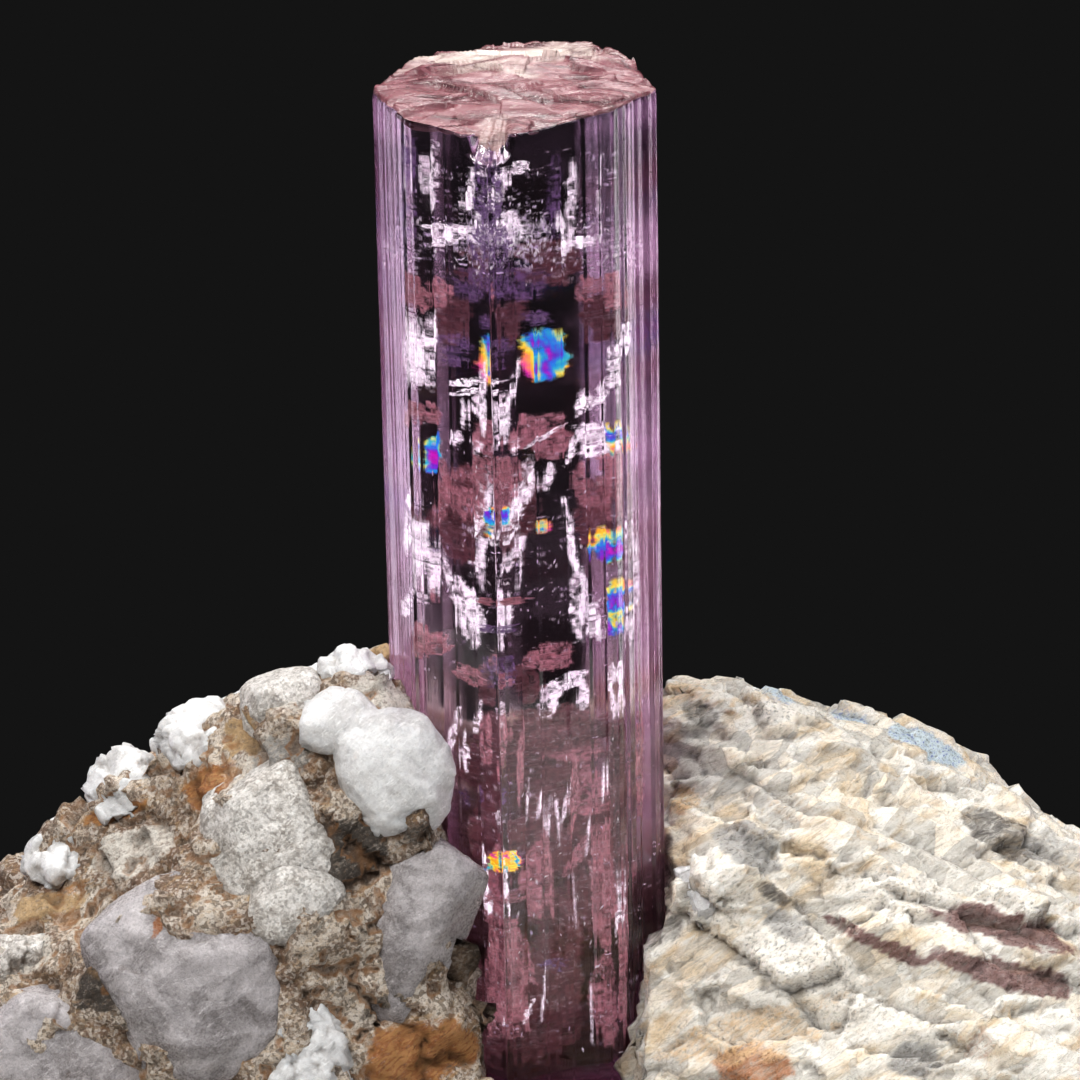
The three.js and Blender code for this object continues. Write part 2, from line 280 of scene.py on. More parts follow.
@dataclass(frozen=True)
class Prism:
    """The crystal's plain prism, in its axis coordinates.

    Attributes:
        corners: The outline seen from above, counter-clockwise from the left corner.
        rim: Height of the rim around the broken top.
        foot: Height of the buried lower end.
        lean: Degrees that the tip leans, negative to the left.
        lean_centre: Height at which the leaning axis crosses the upright one.
        foot_room: How far below the foot the rock stays out.
    """

    corners: tuple[tuple[float, float], ...] = (
        (-7.05, 0.0),
        (-5.3, -4.0),
        (-1.35, -7.25),
        (4.7, -3.5),
        (7.0, -0.3),
        (6.1, 3.1),
        (3.9, 5.5),
        (0.4, 6.9),
        (-3.2, 5.9),
        (-5.9, 3.3),
    )
    rim: float = 59.4
    foot: float = 3.4
    lean: float = -1.0
    lean_centre: float = 35.0
    foot_room: float = 0.6

    def leaned(self, points: np.ndarray) -> np.ndarray:
        """The points of an upright prism, leaned with the crystal.

        Args:
            points: One row of three for each point.

        Returns:
            The turned points.
        """
        angle = math.radians(self.lean)
        height = points[:, 2] - self.lean_centre
        return side_by_side(
            points[:, 0] * math.cos(angle) + height * math.sin(angle),
            points[:, 1],
            height * math.cos(angle) - points[:, 0] * math.sin(angle) + self.lean_centre,
        )

    def upright(self, points: np.ndarray) -> np.ndarray:
        """The reverse of leaned."""
        return Prism(lean=-self.lean, lean_centre=self.lean_centre).leaned(points)

    def sides(self) -> tuple[np.ndarray, np.ndarray]:
        """Outward normals of the side faces, and their distances from the axis."""
        start = np.array(self.corners)
        along = np.roll(start, -1, axis=0) - start
        normals = np.stack([along[:, 1], -along[:, 0]], axis=1)
        normals /= np.linalg.norm(normals, axis=1, keepdims=True)
        return normals, np.sum(normals * start, axis=1)

    def kept_out(self, points: np.ndarray, clearance: float) -> np.ndarray:
        """Points with those inside the prism moved out to its surface.

        Formula: the depth under each side face is the face's distance less the point's
        own distance along its normal. A point that is under all of them moves out along
        the normal of the nearest.

        Args:
            points: One row of three for each point.
            clearance: How far off the surface the moved points end.

        Returns:
            The points, moved where they were inside.
        """
        straight = self.upright(points)
        normals, reach = self.sides()
        depth = reach + clearance - straight[:, :2] @ normals.T
        nearest = np.argmin(depth, axis=1)
        least = depth[np.arange(len(points)), nearest]
        inside = (least > 0) & (straight[:, 2] > self.foot - self.foot_room)
        straight[inside, :2] += normals[nearest[inside]] * least[inside, None]
        return self.leaned(straight)

    def kept_in(self, points: np.ndarray, clearance: float) -> np.ndarray:
        """Points with those outside the prism moved in to its surface.

        Formula: twice over, a point past a side face moves back along the face's normal
        until it is the clearance under it. Heights are held between foot and rim.

        Args:
            points: One row of three for each point.
            clearance: How far under the surface the moved points end.

        Returns:
            The points, moved where they were outside.
        """
        straight = self.upright(points)
        normals, reach = self.sides()
        for _ in range(2):
            for normal, distance in zip(normals, reach):
                past = straight[:, :2] @ normal - (distance - clearance)
                straight[:, :2] -= np.maximum(past, 0)[:, None] * normal
        straight[:, 2] = np.clip(straight[:, 2], self.foot + clearance, self.rim - clearance)
        return self.leaned(straight)

    def seen_inside(
        self, across: np.ndarray, down: np.ndarray, depth: np.ndarray, index: float
    ) -> np.ndarray:
        """Places inside the crystal that the camera sees at pixels through its near faces.

        Formula: a ray meets the prism at the greatest of its distances to the planes of
        the faces that face the camera. There it bends by the law of refraction, and it
        goes on inside for the given depth.

        Args:
            across: Pixel columns.
            down: Pixel rows.
            depth: Length of each ray's way inside.
            index: The crystal's index of refraction.

        Returns:
            One row of three for each pixel, in the crystal's axis coordinates.
        """
        rays = VIEWPOINT.rays(across, down)
        start = VIEWPOINT.position[None, :]
        straight_start = self.upright(start)[0]
        straight_rays = self.upright(start + rays) - straight_start
        normals, reach = self.sides()
        closing = straight_rays[:, :2] @ normals.T
        gap = reach - straight_start[:2] @ normals.T
        least = -0.05  # a face that turns away more than this isn't entered
        distance = np.where(closing < least, gap / np.minimum(closing, least), -np.inf)
        first = np.argmax(distance, axis=1)
        entry = straight_start + straight_rays * distance[np.arange(len(first)), first][:, None]
        out = np.concatenate([normals[first], np.zeros((len(first), 1))], axis=1)
        facing = -np.sum(out * straight_rays, axis=1)
        bent = np.sqrt(1 - (1 - facing**2) / index**2)
        inner = straight_rays / index + (facing / index - bent)[:, None] * out
        return self.leaned(entry + inner * np.asarray(depth)[:, None])


PRISM = Prism()


# Meshes


def mesh_object(name: str, points: np.ndarray, *faces: np.ndarray) -> bpy.types.Object:
    """A new smooth-shaded object from arrays.

    Args:
        name: The piece's name.
        points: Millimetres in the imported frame, one row for each vertex.
        *faces: Arrays of vertex numbers, one row for each face. The faces of one array
            all have as many corners.

    Returns:
        The object, linked to the scene.
    """
    mesh = bpy.data.meshes.new(name)
    mesh.vertices.add(len(points))
    mesh.vertices.foreach_set("co", (points * MM).astype(np.float32).ravel())
    loops = np.concatenate([part.ravel() for part in faces]).astype(np.int32)
    sizes = np.concatenate([np.full(len(part), part.shape[1]) for part in faces])
    starts = np.concatenate([[0], np.cumsum(sizes)[:-1]]).astype(np.int32)
    mesh.loops.add(len(loops))
    mesh.loops.foreach_set("vertex_index", loops)
    mesh.polygons.add(len(sizes))
    mesh.polygons.foreach_set("loop_start", starts)
    mesh.polygons.foreach_set("use_smooth", np.ones(len(sizes), bool))
    mesh.update(calc_edges=True)
    mesh.validate()
    piece = bpy.data.objects.new(name, mesh)
    bpy.context.scene.collection.objects.link(piece)
    return piece


def grid_faces(rows: int, columns: int, wrapped: bool) -> np.ndarray:
    """Four-cornered faces of a grid of points that was stored row by row.

    Args:
        rows: Number of rows.
        columns: Number of points in a row.
        wrapped: Whether the last column joins the first.

    Returns:
        One row of four vertex numbers for each face.
    """
    row, column = np.meshgrid(
        np.arange(rows - 1), np.arange(columns if wrapped else columns - 1), indexing="ij"
    )
    start = (row * columns + column).ravel()
    beside = (row * columns + (column + 1) % columns).ravel()
    return np.stack([start, beside, beside + columns, start + columns], axis=1)


def joined(parts: list[tuple[np.ndarray, ...]]) -> tuple[np.ndarray, np.ndarray]:
    """The points and faces of several parts as one.

    Args:
        parts: For each part its points, its faces and anything more.

    Returns:
        All points, and all faces with their vertices numbered anew.
    """
    starts = np.cumsum([0] + [len(part[0]) for part in parts])
    faces = [part[1] + start for part, start in zip(parts, starts)]
    return np.concatenate([part[0] for part in parts]), np.concatenate(faces)


def welded(piece: bpy.types.Object, reach: float) -> None:
    """Merges vertices closer than reach, in millimetres, and turns all faces outward."""
    work = bmesh.new()
    work.from_mesh(piece.data)
    bmesh.ops.remove_doubles(work, verts=work.verts, dist=reach * MM)
    bmesh.ops.recalc_face_normals(work, faces=work.faces)
    work.to_mesh(piece.data)
    work.free()


def coordinates(mesh: bpy.types.Mesh) -> np.ndarray:
    """A mesh's vertices in millimetres, one row each."""
    flat = np.empty(len(mesh.vertices) * 3, np.float32)
    mesh.vertices.foreach_get("co", flat)
    return flat.reshape(-1, 3).astype(np.float64) / MM


def vertex_normals(mesh: bpy.types.Mesh) -> np.ndarray:
    """A mesh's vertex normals, one row each."""
    flat = np.empty(len(mesh.vertices) * 3, np.float32)
    mesh.vertex_normals.foreach_get("vector", flat)
    return flat.reshape(-1, 3).astype(np.float64)


def set_coordinates(mesh: bpy.types.Mesh, points: np.ndarray) -> None:
    """Moves a mesh's vertices to the given places in millimetres."""
    mesh.vertices.foreach_set("co", (points * MM).astype(np.float32).ravel())
    mesh.update()


def evened(mesh: bpy.types.Mesh, points: np.ndarray, rounds: int) -> np.ndarray:
    """Points with sharp edges worn down: each moves halfway to the mean of its neighbours.

    Args:
        mesh: The mesh that the points belong to.
        points: Its vertices.
        rounds: How many times the points move.

    Returns:
        The moved points.
    """
    pairs = np.empty(len(mesh.edges) * 2, np.int32)
    mesh.edges.foreach_get("vertices", pairs)
    ends = pairs.reshape(-1, 2)
    count = np.bincount(ends.ravel(), minlength=len(points))[:, None].clip(1)
    for _ in range(rounds):
        total = np.zeros_like(points)
        for axis in range(3):
            total[:, axis] += np.bincount(ends[:, 0], points[ends[:, 1], axis], len(points))
            total[:, axis] += np.bincount(ends[:, 1], points[ends[:, 0], axis], len(points))
        points = 0.5 * points + 0.5 * total / count
    return points


def refined_copy(nodes: tuple[str, ...], name: str, voxel: float) -> bpy.types.Object:
    """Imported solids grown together, with their surface divided evenly, as a new object.

    Args:
        nodes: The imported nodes' names.
        name: The new piece's name.
        voxel: Spacing of the new vertices in millimetres.

    Returns:
        The new object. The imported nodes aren't touched.
    """
    work = bmesh.new()
    for node in nodes:
        work.from_mesh(frame["nodes"][node].data)
    bmesh.ops.remove_doubles(work, verts=work.verts, dist=1e-6)
    mesh = bpy.data.meshes.new(name)
    work.to_mesh(mesh)
    work.free()
    piece = bpy.data.objects.new(name, mesh)
    bpy.context.scene.collection.objects.link(piece)
    divide_evenly(piece, voxel)
    return piece


def divide_evenly(piece: bpy.types.Object, voxel: float) -> None:
    """Divides a piece's outer surface anew, with its vertices a voxel apart.

    Args:
        piece: The piece, whose parts may run through each other.
        voxel: Spacing in millimetres.
    """
    remesh = piece.modifiers.new("even", "REMESH")
    remesh.mode = "VOXEL"
    remesh.voxel_size = voxel * MM
    remesh.adaptivity = 0.0
    remesh.use_smooth_shade = True
    evaluated = piece.evaluated_get(bpy.context.evaluated_depsgraph_get())
    divided = bpy.data.meshes.new_from_object(evaluated)
    piece.modifiers.clear()
    piece.data = divided
    piece.data.name = piece.name


def close_clefts(piece: bpy.types.Object, reach: float, voxel: float) -> None:
    """Fills the clefts of a piece that are narrower than twice the reach.

    Formula: the surface moves out along its normals by the reach, runs together where
    it meets itself, and moves back in.

    Args:
        piece: The piece to fill.
        reach: How far it moves out and back, in millimetres.
        voxel: Spacing of its vertices.
    """
    steps = 3
    for way in (1, -1):
        for _ in range(steps):
            mesh = piece.data
            points = evened(mesh, coordinates(mesh), 1)
            set_coordinates(mesh, points + vertex_normals(mesh) * (way * reach / steps))
            divide_evenly(piece, voxel)


class Sight:
    """Finds the place on a piece that the camera sees at a pixel."""

    def __init__(self, piece: bpy.types.Object) -> None:
        """Keeps the piece's faces ready for looking them up.

        Args:
            piece: The piece to look at.
        """
        mesh = piece.data
        self.tree = BVHTree.FromPolygons(
            [tuple(point) for point in coordinates(mesh)],
            [tuple(face.vertices) for face in mesh.polygons],
        )

    def point(self, across: float, down: float) -> np.ndarray | None:
        """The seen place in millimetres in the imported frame, or nothing on a miss."""
        ray = VIEWPOINT.rays(np.array([across]), np.array([down]))[0]
        hit = self.tree.ray_cast(Vector(VIEWPOINT.position + SHIFT), Vector(ray))
        return None if hit[0] is None else np.array(hit[0])


def add_mask(mesh: bpy.types.Mesh, name: str, values: np.ndarray) -> None:
    """Keeps one number from 0 to 1 for each vertex, for a material to read."""
    layer = mesh.attributes.new(name, "FLOAT", "POINT")
    layer.data.foreach_set("value", np.clip(values, 0, 1).astype(np.float32))


# Materials


Socket = bpy.types.NodeSocket
Triple = tuple[float, float, float]
Colour = Triple


class Stain(Enum):
    """What a patch of the rock's surface is coloured by."""

    RUST = "rust"
    DARK = "dark"
    PALE = "pale"
    GREY = "grey"
    WINE = "wine"
    BLUE = "blue"
    TAN = "tan"


STAIN_TONES: dict[Stain, Colour] = {
    Stain.RUST: (0.36, 0.135, 0.04),
    Stain.DARK: (0.055, 0.045, 0.038),
    Stain.PALE: (0.78, 0.74, 0.68),
    Stain.GREY: (0.30, 0.29, 0.28),
    Stain.WINE: (0.15, 0.062, 0.058),
    Stain.BLUE: (0.50, 0.60, 0.66),
    Stain.TAN: (0.55, 0.38, 0.21),
}


class Recipe:
    """Builds one node material. Its coordinates are millimetres on the object."""

    def __init__(self, name: str) -> None:
        """Starts an empty material with a Principled surface.

        Args:
            name: The material's name.
        """
        self.material = bpy.data.materials.new(name)
        self.material.use_nodes = True
        self.tree = self.material.node_tree
        self.tree.nodes.clear()
        self.output = self.tree.nodes.new("ShaderNodeOutputMaterial")
        self.surface = self.tree.nodes.new("ShaderNodeBsdfPrincipled")
        self.link(self.surface.outputs["BSDF"], self.output.inputs["Surface"])
        self.place = self.tree.nodes.new("ShaderNodeTexCoord").outputs["Object"]

    def link(self, source: Socket, target: Socket) -> None:
        """Joins an output to an input."""
        self.tree.links.new(source, target)

    def give(self, target: Socket, value: object) -> None:
        """Sets an input to a number or colour, or joins it to an output."""
        if isinstance(value, bpy.types.NodeSocket):
            self.link(value, target)
        elif isinstance(value, tuple) and len(value) == 3 and target.type == "RGBA":
            target.default_value = (*value, 1.0)
        else:
            target.default_value = value

    def node(
        self, kind: str, outlet: str, settings: dict | None = None, **inputs: object
    ) -> Socket:
        """Adds a node.

        Args:
            kind: The node's type name.
            outlet: The output that is wanted.
            settings: Properties of the node itself.
            **inputs: Values of its inputs, with _ for a space in the input's name.

        Returns:
            The output.
        """
        made = self.tree.nodes.new(kind)
        for key, value in (settings or {}).items():
            setattr(made, key, value)
        for key, value in inputs.items():
            self.give(made.inputs[key.replace("_", " ")], value)
        return made.outputs[outlet]

    def spaced(self, scale: Triple, turn: Triple = (0, 0, 0)) -> Socket:
        """Object coordinates in millimetres, stretched and turned.

        Args:
            scale: Repeats in a millimetre along each axis.
            turn: Degrees about each axis, before the stretch.

        Returns:
            The coordinates.
        """
        turned = self.node(
            "ShaderNodeMapping",
            "Vector",
            Vector=self.place,
            Rotation=tuple(math.radians(angle) for angle in turn),
        )
        return self.node(
            "ShaderNodeMapping", "Vector", Vector=turned, Scale=tuple(s / MM for s in scale)
        )

    def noise(
        self,
        scale: Triple,
        detail: float,
        rough: float,
        warp: float = 0.0,
        turn: Triple = (0, 0, 0),
    ) -> Socket:
        """Layered noise from 0 to 1.

        Args:
            scale: Repeats in a millimetre along each axis.
            detail: Number of layers.
            rough: Strength of each layer against the one before.
            warp: How far the pattern is drawn out of shape.
            turn: Degrees about each axis, before the stretch.

        Returns:
            The noise.
        """
        return self.node(
            "ShaderNodeTexNoise", "Fac", Vector=self.spaced(scale, turn), Scale=1.0,
            Detail=detail, Roughness=rough, Distortion=warp,
        )

    def cells(self, where: Socket, feature: str = "F1", outlet: str = "Distance") -> Socket:
        """Distance to the nearest cell seed, to its edge, or the cell's random colour."""
        return self.node(
            "ShaderNodeTexVoronoi", outlet, {"feature": feature}, Vector=where, Scale=1.0
        )

    def ramp(self, value: Socket, *stops: tuple[float, Colour | float]) -> Socket:
        """Colour or grey along a value.

        Args:
            value: From 0 to 1.
            *stops: Places with a colour, or with a grey as one number.

        Returns:
            The colour.
        """
        made = self.tree.nodes.new("ShaderNodeValToRGB")
        self.link(value, made.inputs["Fac"])
        elements = made.color_ramp.elements
        while len(elements) > 1:
            elements.remove(elements[-1])
        for number, (at, colour) in enumerate(stops):
            element = elements[0] if number == 0 else elements.new(at)
            element.position = at
            grey = isinstance(colour, (int, float))
            element.color = (colour, colour, colour, 1.0) if grey else (*colour, 1.0)
        return made.outputs["Color"]

    def rise(self, value: Socket, low: float, high: float) -> Socket:
        """Black below low, white above high, and straight between them."""
        return self.ramp(value, (low, 0.0), (high, 1.0))

    def fall(self, value: Socket, low: float, high: float) -> Socket:
        """White below low, black above high, and straight between them."""
        return self.ramp(value, (low, 1.0), (high, 0.0))

    def mix(self, share: Socket | float, first: Socket | Colour, second: Socket | Colour) -> Socket:
        """A blend of two colours, or of two outputs."""
        made = self.tree.nodes.new("ShaderNodeMix")
        made.data_type = "RGBA"
        self.give(made.inputs[0], share)
        self.give(made.inputs[6], first)
        self.give(made.inputs[7], second)
        return made.outputs[2]

    def maths(self, operation: str, first: Socket, second: Socket | float) -> Socket:
        """One step of arithmetic, with its result kept between 0 and 1."""
        made = self.tree.nodes.new("ShaderNodeMath")
        made.operation, made.use_clamp = operation, True
        self.give(made.inputs[0], first)
        self.give(made.inputs[1], second)
        return made.outputs[0]

    def times(self, first: Socket, second: Socket | float) -> Socket:
        """The product of two values, kept between 0 and 1."""
        return self.maths("MULTIPLY", first, second)

    def plus(self, first: Socket, second: Socket) -> Socket:
        """The sum of two values, kept between 0 and 1."""
        return self.maths("ADD", first, second)

    def over(
        self, colour: Socket, tone: Socket | Colour, cover: Socket, strength: Socket | float
    ) -> Socket:
        """A colour with a tone laid over it, where cover times strength says."""
        return self.mix(self.times(cover, strength), colour, tone)

    def stained(
        self,
        colour: Socket,
        stains: Iterable[Stain],
        torn: Socket,
        *stops: tuple[float, float],
        grain: Socket | None = None,
    ) -> Socket:
        """A colour with the rock's stains over it, in torn patches.

        Args:
            colour: The clean rock's colour.
            stains: Which stains, in their order.
            torn: What makes the patches' borders uneven.
            *stops: How thick each stain lies along its mask and the torn value together.
            grain: What makes the stains' tones uneven.

        Returns:
            The stained colour.
        """
        for stain in stains:
            spread = self.plus(self.times(self.mask(stain.value), 0.5), torn)
            tone = STAIN_TONES[stain]
            if grain is not None:
                tone = self.uneven(tone, grain)
            colour = self.mix(self.ramp(spread, *stops), colour, tone)
        return colour

    def absorb(self, tint: Colour, density: float) -> None:
        """Fills the body with plain absorption, its density for each metre."""
        volume = self.node(
            "ShaderNodeVolumeAbsorption", "Volume", Color=tint, Density=density
        )
        self.link(volume, self.output.inputs["Volume"])

    def uneven(self, tone: Colour, grain: Socket) -> Socket:
        """A tone that runs from dark to pale with a grain from 0 to 1."""
        dark = tuple(0.4 * part for part in tone)
        pale = tuple(min(1.0, 1.15 * part + 0.1) for part in tone)
        return self.ramp(grain, (0.36, dark), (0.48, tone), (0.56, tone), (0.66, pale))

    def mask(self, name: str) -> Socket:
        """A number kept on the mesh's vertices by add_mask."""
        return self.node("ShaderNodeAttribute", "Fac", {"attribute_name": name})

    def bump(
        self, height: Socket, depth: float, strength: float = 1.0, under: Socket | None = None
    ) -> Socket:
        """A surface normal from a height.

        Args:
            height: From 0 to 1.
            depth: What a height of 1 stands for, in millimetres.
            strength: Share of the effect.
            under: A coarser normal that this one rides on.

        Returns:
            The normal.
        """
        inputs = {"Height": height, "Distance": depth * MM, "Strength": strength}
        if under is not None:
            inputs["Normal"] = under
        return self.node("ShaderNodeBump", "Normal", **inputs)

    def finish(self, **inputs: object) -> bpy.types.Material:
        """Sets the surface's inputs and returns the material."""
        for key, value in inputs.items():
            self.give(self.surface.inputs[key.replace("_", " ")], value)
        return self.material


# Finishes


class VeilKind(Enum):
    """The looks of the healed cracks inside the crystal. The white ones are brightened as a painted
    reflection, and the smoke ones are dark sheets of painted shade.
    """

    # White: the cracks' own whiteness, brightened into a painted reflection of the lamps.
    WHITE = "white"
    ROSE = "rose"
    LILAC = "lilac"
    FILM = "film"
    # Smoke: dark rose sheets that darken the crystal where it looks dark, a painted shade.
    SMOKE = "smoke"


@dataclass(frozen=True)
class TopazFinish:
    """Clear pink topaz with fine striae along the prism.

    Attributes:
        index: Index of refraction.
        roughness: Of the side faces.
        tint: What the crystal lets through, as the absorption's colour.
        density: Absorption for each metre.
        stria_depth: Height of the finest striae.
    """

    index: float = 1.62
    roughness: float = 0.03
    tint: Colour = (0.84, 0.60, 0.80)
    density: float = 75.0
    stria_depth: float = 0.012

    def material(self) -> bpy.types.Material:
        """The clear body's material."""
        recipe = Recipe("clear_pink_topaz")
        striae = recipe.noise((6.0, 6.0, 0.03), 5.0, 0.65)
        recipe.absorb(self.tint, self.density)
        return recipe.finish(
            Base_Color=(1.0, 1.0, 1.0),
            Transmission_Weight=1.0,
            IOR=self.index,
            Roughness=self.roughness,
            Normal=recipe.bump(striae, self.stria_depth),
        )


@dataclass(frozen=True)
class BrokenTopazFinish:
    """The crystal's broken top: rose, with a cream veil and fine hackles.

    Attributes:
        rose: Colour of most of the face.
        deep: Colour of its hollows, a painted shade.
        cream: Colour of the veil.
        line: Colour of the thin bright threads.
        clearness: Share of the light that goes through.
        body: The clear topaz below it.
    """

    rose: Colour = (0.29, 0.11, 0.13)
    deep: Colour = (0.085, 0.025, 0.034)
    cream: Colour = (0.68, 0.57, 0.52)
    line: Colour = (0.92, 0.80, 0.78)
    clearness: float = 0.25
    body: TopazFinish = TopazFinish()

    def material(self) -> bpy.types.Material:
        """The broken face's material."""
        recipe = Recipe("broken_topaz")
        streaks = recipe.noise((0.3, 0.8, 2.0), 8.0, 0.6, 0.9, turn=(0, 0, 14))
        grit = recipe.noise((5.0, 9.0, 6.0), 5.0, 0.7, 0.5, turn=(0, 0, -8))
        # Painted shade: the face is darker where its streaks lie low, the same streaks that make
        # its bump.
        colour = recipe.mix(recipe.rise(streaks, 0.36, 0.56), self.deep, self.rose)
        scratch = recipe.rise(grit, 0.55, 0.66)
        colour = recipe.over(colour, self.cream, scratch, 0.25)
        torn = recipe.ramp(streaks, (0.36, 0.2), (0.5, 1.0))
        colour = recipe.over(colour, self.cream, recipe.mask("veil"), torn)
        recipe.absorb(self.body.tint, self.body.density)
        thread = recipe.noise((0.5, 3.2, 3.0), 6.0, 0.7, 1.6, turn=(0, 0, -20))
        lines = recipe.ramp(thread, (0.60, 0.0), (0.625, 1.0), (0.65, 0.0))
        colour = recipe.over(colour, self.line, lines, 0.8)
        return recipe.finish(
            Base_Color=colour,
            Transmission_Weight=self.clearness,
            IOR=self.body.index,
            Roughness=recipe.ramp(streaks, (0.4, 0.12), (0.6, 0.34)),
            Normal=recipe.bump(grit, 0.03, under=recipe.bump(streaks, 0.13)),
        )


# Interference colours of a thin film, by its thickness from 0 to 1
FILM_ORDERS: tuple[tuple[float, Colour], ...] = (
    (0.05, (0.10, 0.02, 0.16)),
    (0.16, (0.75, 0.03, 0.42)),
    (0.27, (0.95, 0.46, 0.02)),
    (0.38, (0.90, 0.80, 0.10)),
    (0.49, (0.06, 0.55, 0.60)),
    (0.62, (0.02, 0.25, 0.75)),
    (0.78, (0.16, 0.04, 0.60)),
    (0.92, (0.55, 0.02, 0.50)),
)


@dataclass(frozen=True)
class VeilFinish:
    """A healed crack inside the crystal, seen as a thin streaked sheet.

    Attributes:
        kind: Which of the looks.
        light: Colour of its bright streaks.
        shade: Colour between them.
        cover: How much of the sheet is torn away, from 0 for a whole sheet.
        shine: Roughness.
        painted_glow: Strength of the sheet's own emission, a painted glow standing in for light
            scattered from the crystal around it.
        body: How little shows through it, from 0 to 1.
    """

    kind: VeilKind
    light: Colour
    shade: Colour
    cover: float
    shine: float = 0.35
    painted_glow: float = 0.0
    body: float = 1.0

    def material(self) -> bpy.types.Material:
        """The sheet's material."""
        recipe = Recipe(f"veil_{self.kind.value}")
        long_streaks = recipe.noise((2.2, 2.2, 0.36), 7.0, 0.7, 1.5, turn=(0, 8, 0))
        fine = recipe.noise((8.0, 8.0, 0.9), 5.0, 0.72, 0.9, turn=(0, -6, 0))
        streak = recipe.plus(recipe.times(long_streaks, 0.5), recipe.times(fine, 0.5))
        if self.kind is VeilKind.FILM:
            drift = recipe.noise((0.6, 0.6, 0.34), 3.0, 0.5, 0.8, turn=(0, 30, 0))
            drifted = recipe.times(recipe.rise(drift, 0.34, 0.66), 0.7)
            order = recipe.plus(recipe.times(recipe.mask("film"), 0.35), drifted)
            order = recipe.plus(order, recipe.times(fine, 0.08))
            colour = recipe.ramp(order, *FILM_ORDERS)
        else:
            mixed = tuple(0.5 * (one + other) for one, other in zip(self.shade, self.light))
            colour = recipe.ramp(
                streak, (0.44, self.shade), (0.49, mixed), (0.55, self.light), (0.62, self.light)
            )
            # Painted glints: sparse pale pink-white specks laid over the colour, which the emission
            # then shines out.
            glints = recipe.noise((7.0, 7.0, 1.8), 5.0, 0.75, 0.8, turn=(0, 32, 0))
            bright = recipe.rise(glints, 0.58, 0.64)
            colour = recipe.over(colour, (1.0, 0.86, 0.94), bright, 0.85)
        held = recipe.times(recipe.rise(recipe.mask("edge"), 0.0, 0.5), 0.2)
        shape = recipe.noise((1.0, 1.0, 0.7), 6.0, 0.7, 2.2, turn=(0, 40, 0))
        torn = recipe.plus(
            recipe.plus(recipe.times(streak, 0.45), held), recipe.times(shape, 0.55)
        )
        whole = recipe.rise(torn, self.cover + 0.14, self.cover + 0.19)
        # The sheet's colour also goes out as emission: a painted glow that lights it without any
        # lamp.
        return recipe.finish(
            Base_Color=colour,
            Roughness=self.shine,
            Alpha=recipe.times(whole, self.body),
            Emission_Color=colour,
            Emission_Strength=self.painted_glow,
            Normal=recipe.bump(fine, 0.03, under=recipe.bump(long_streaks, 0.1)),
        )


QUARTZ_INDEX = 1.54


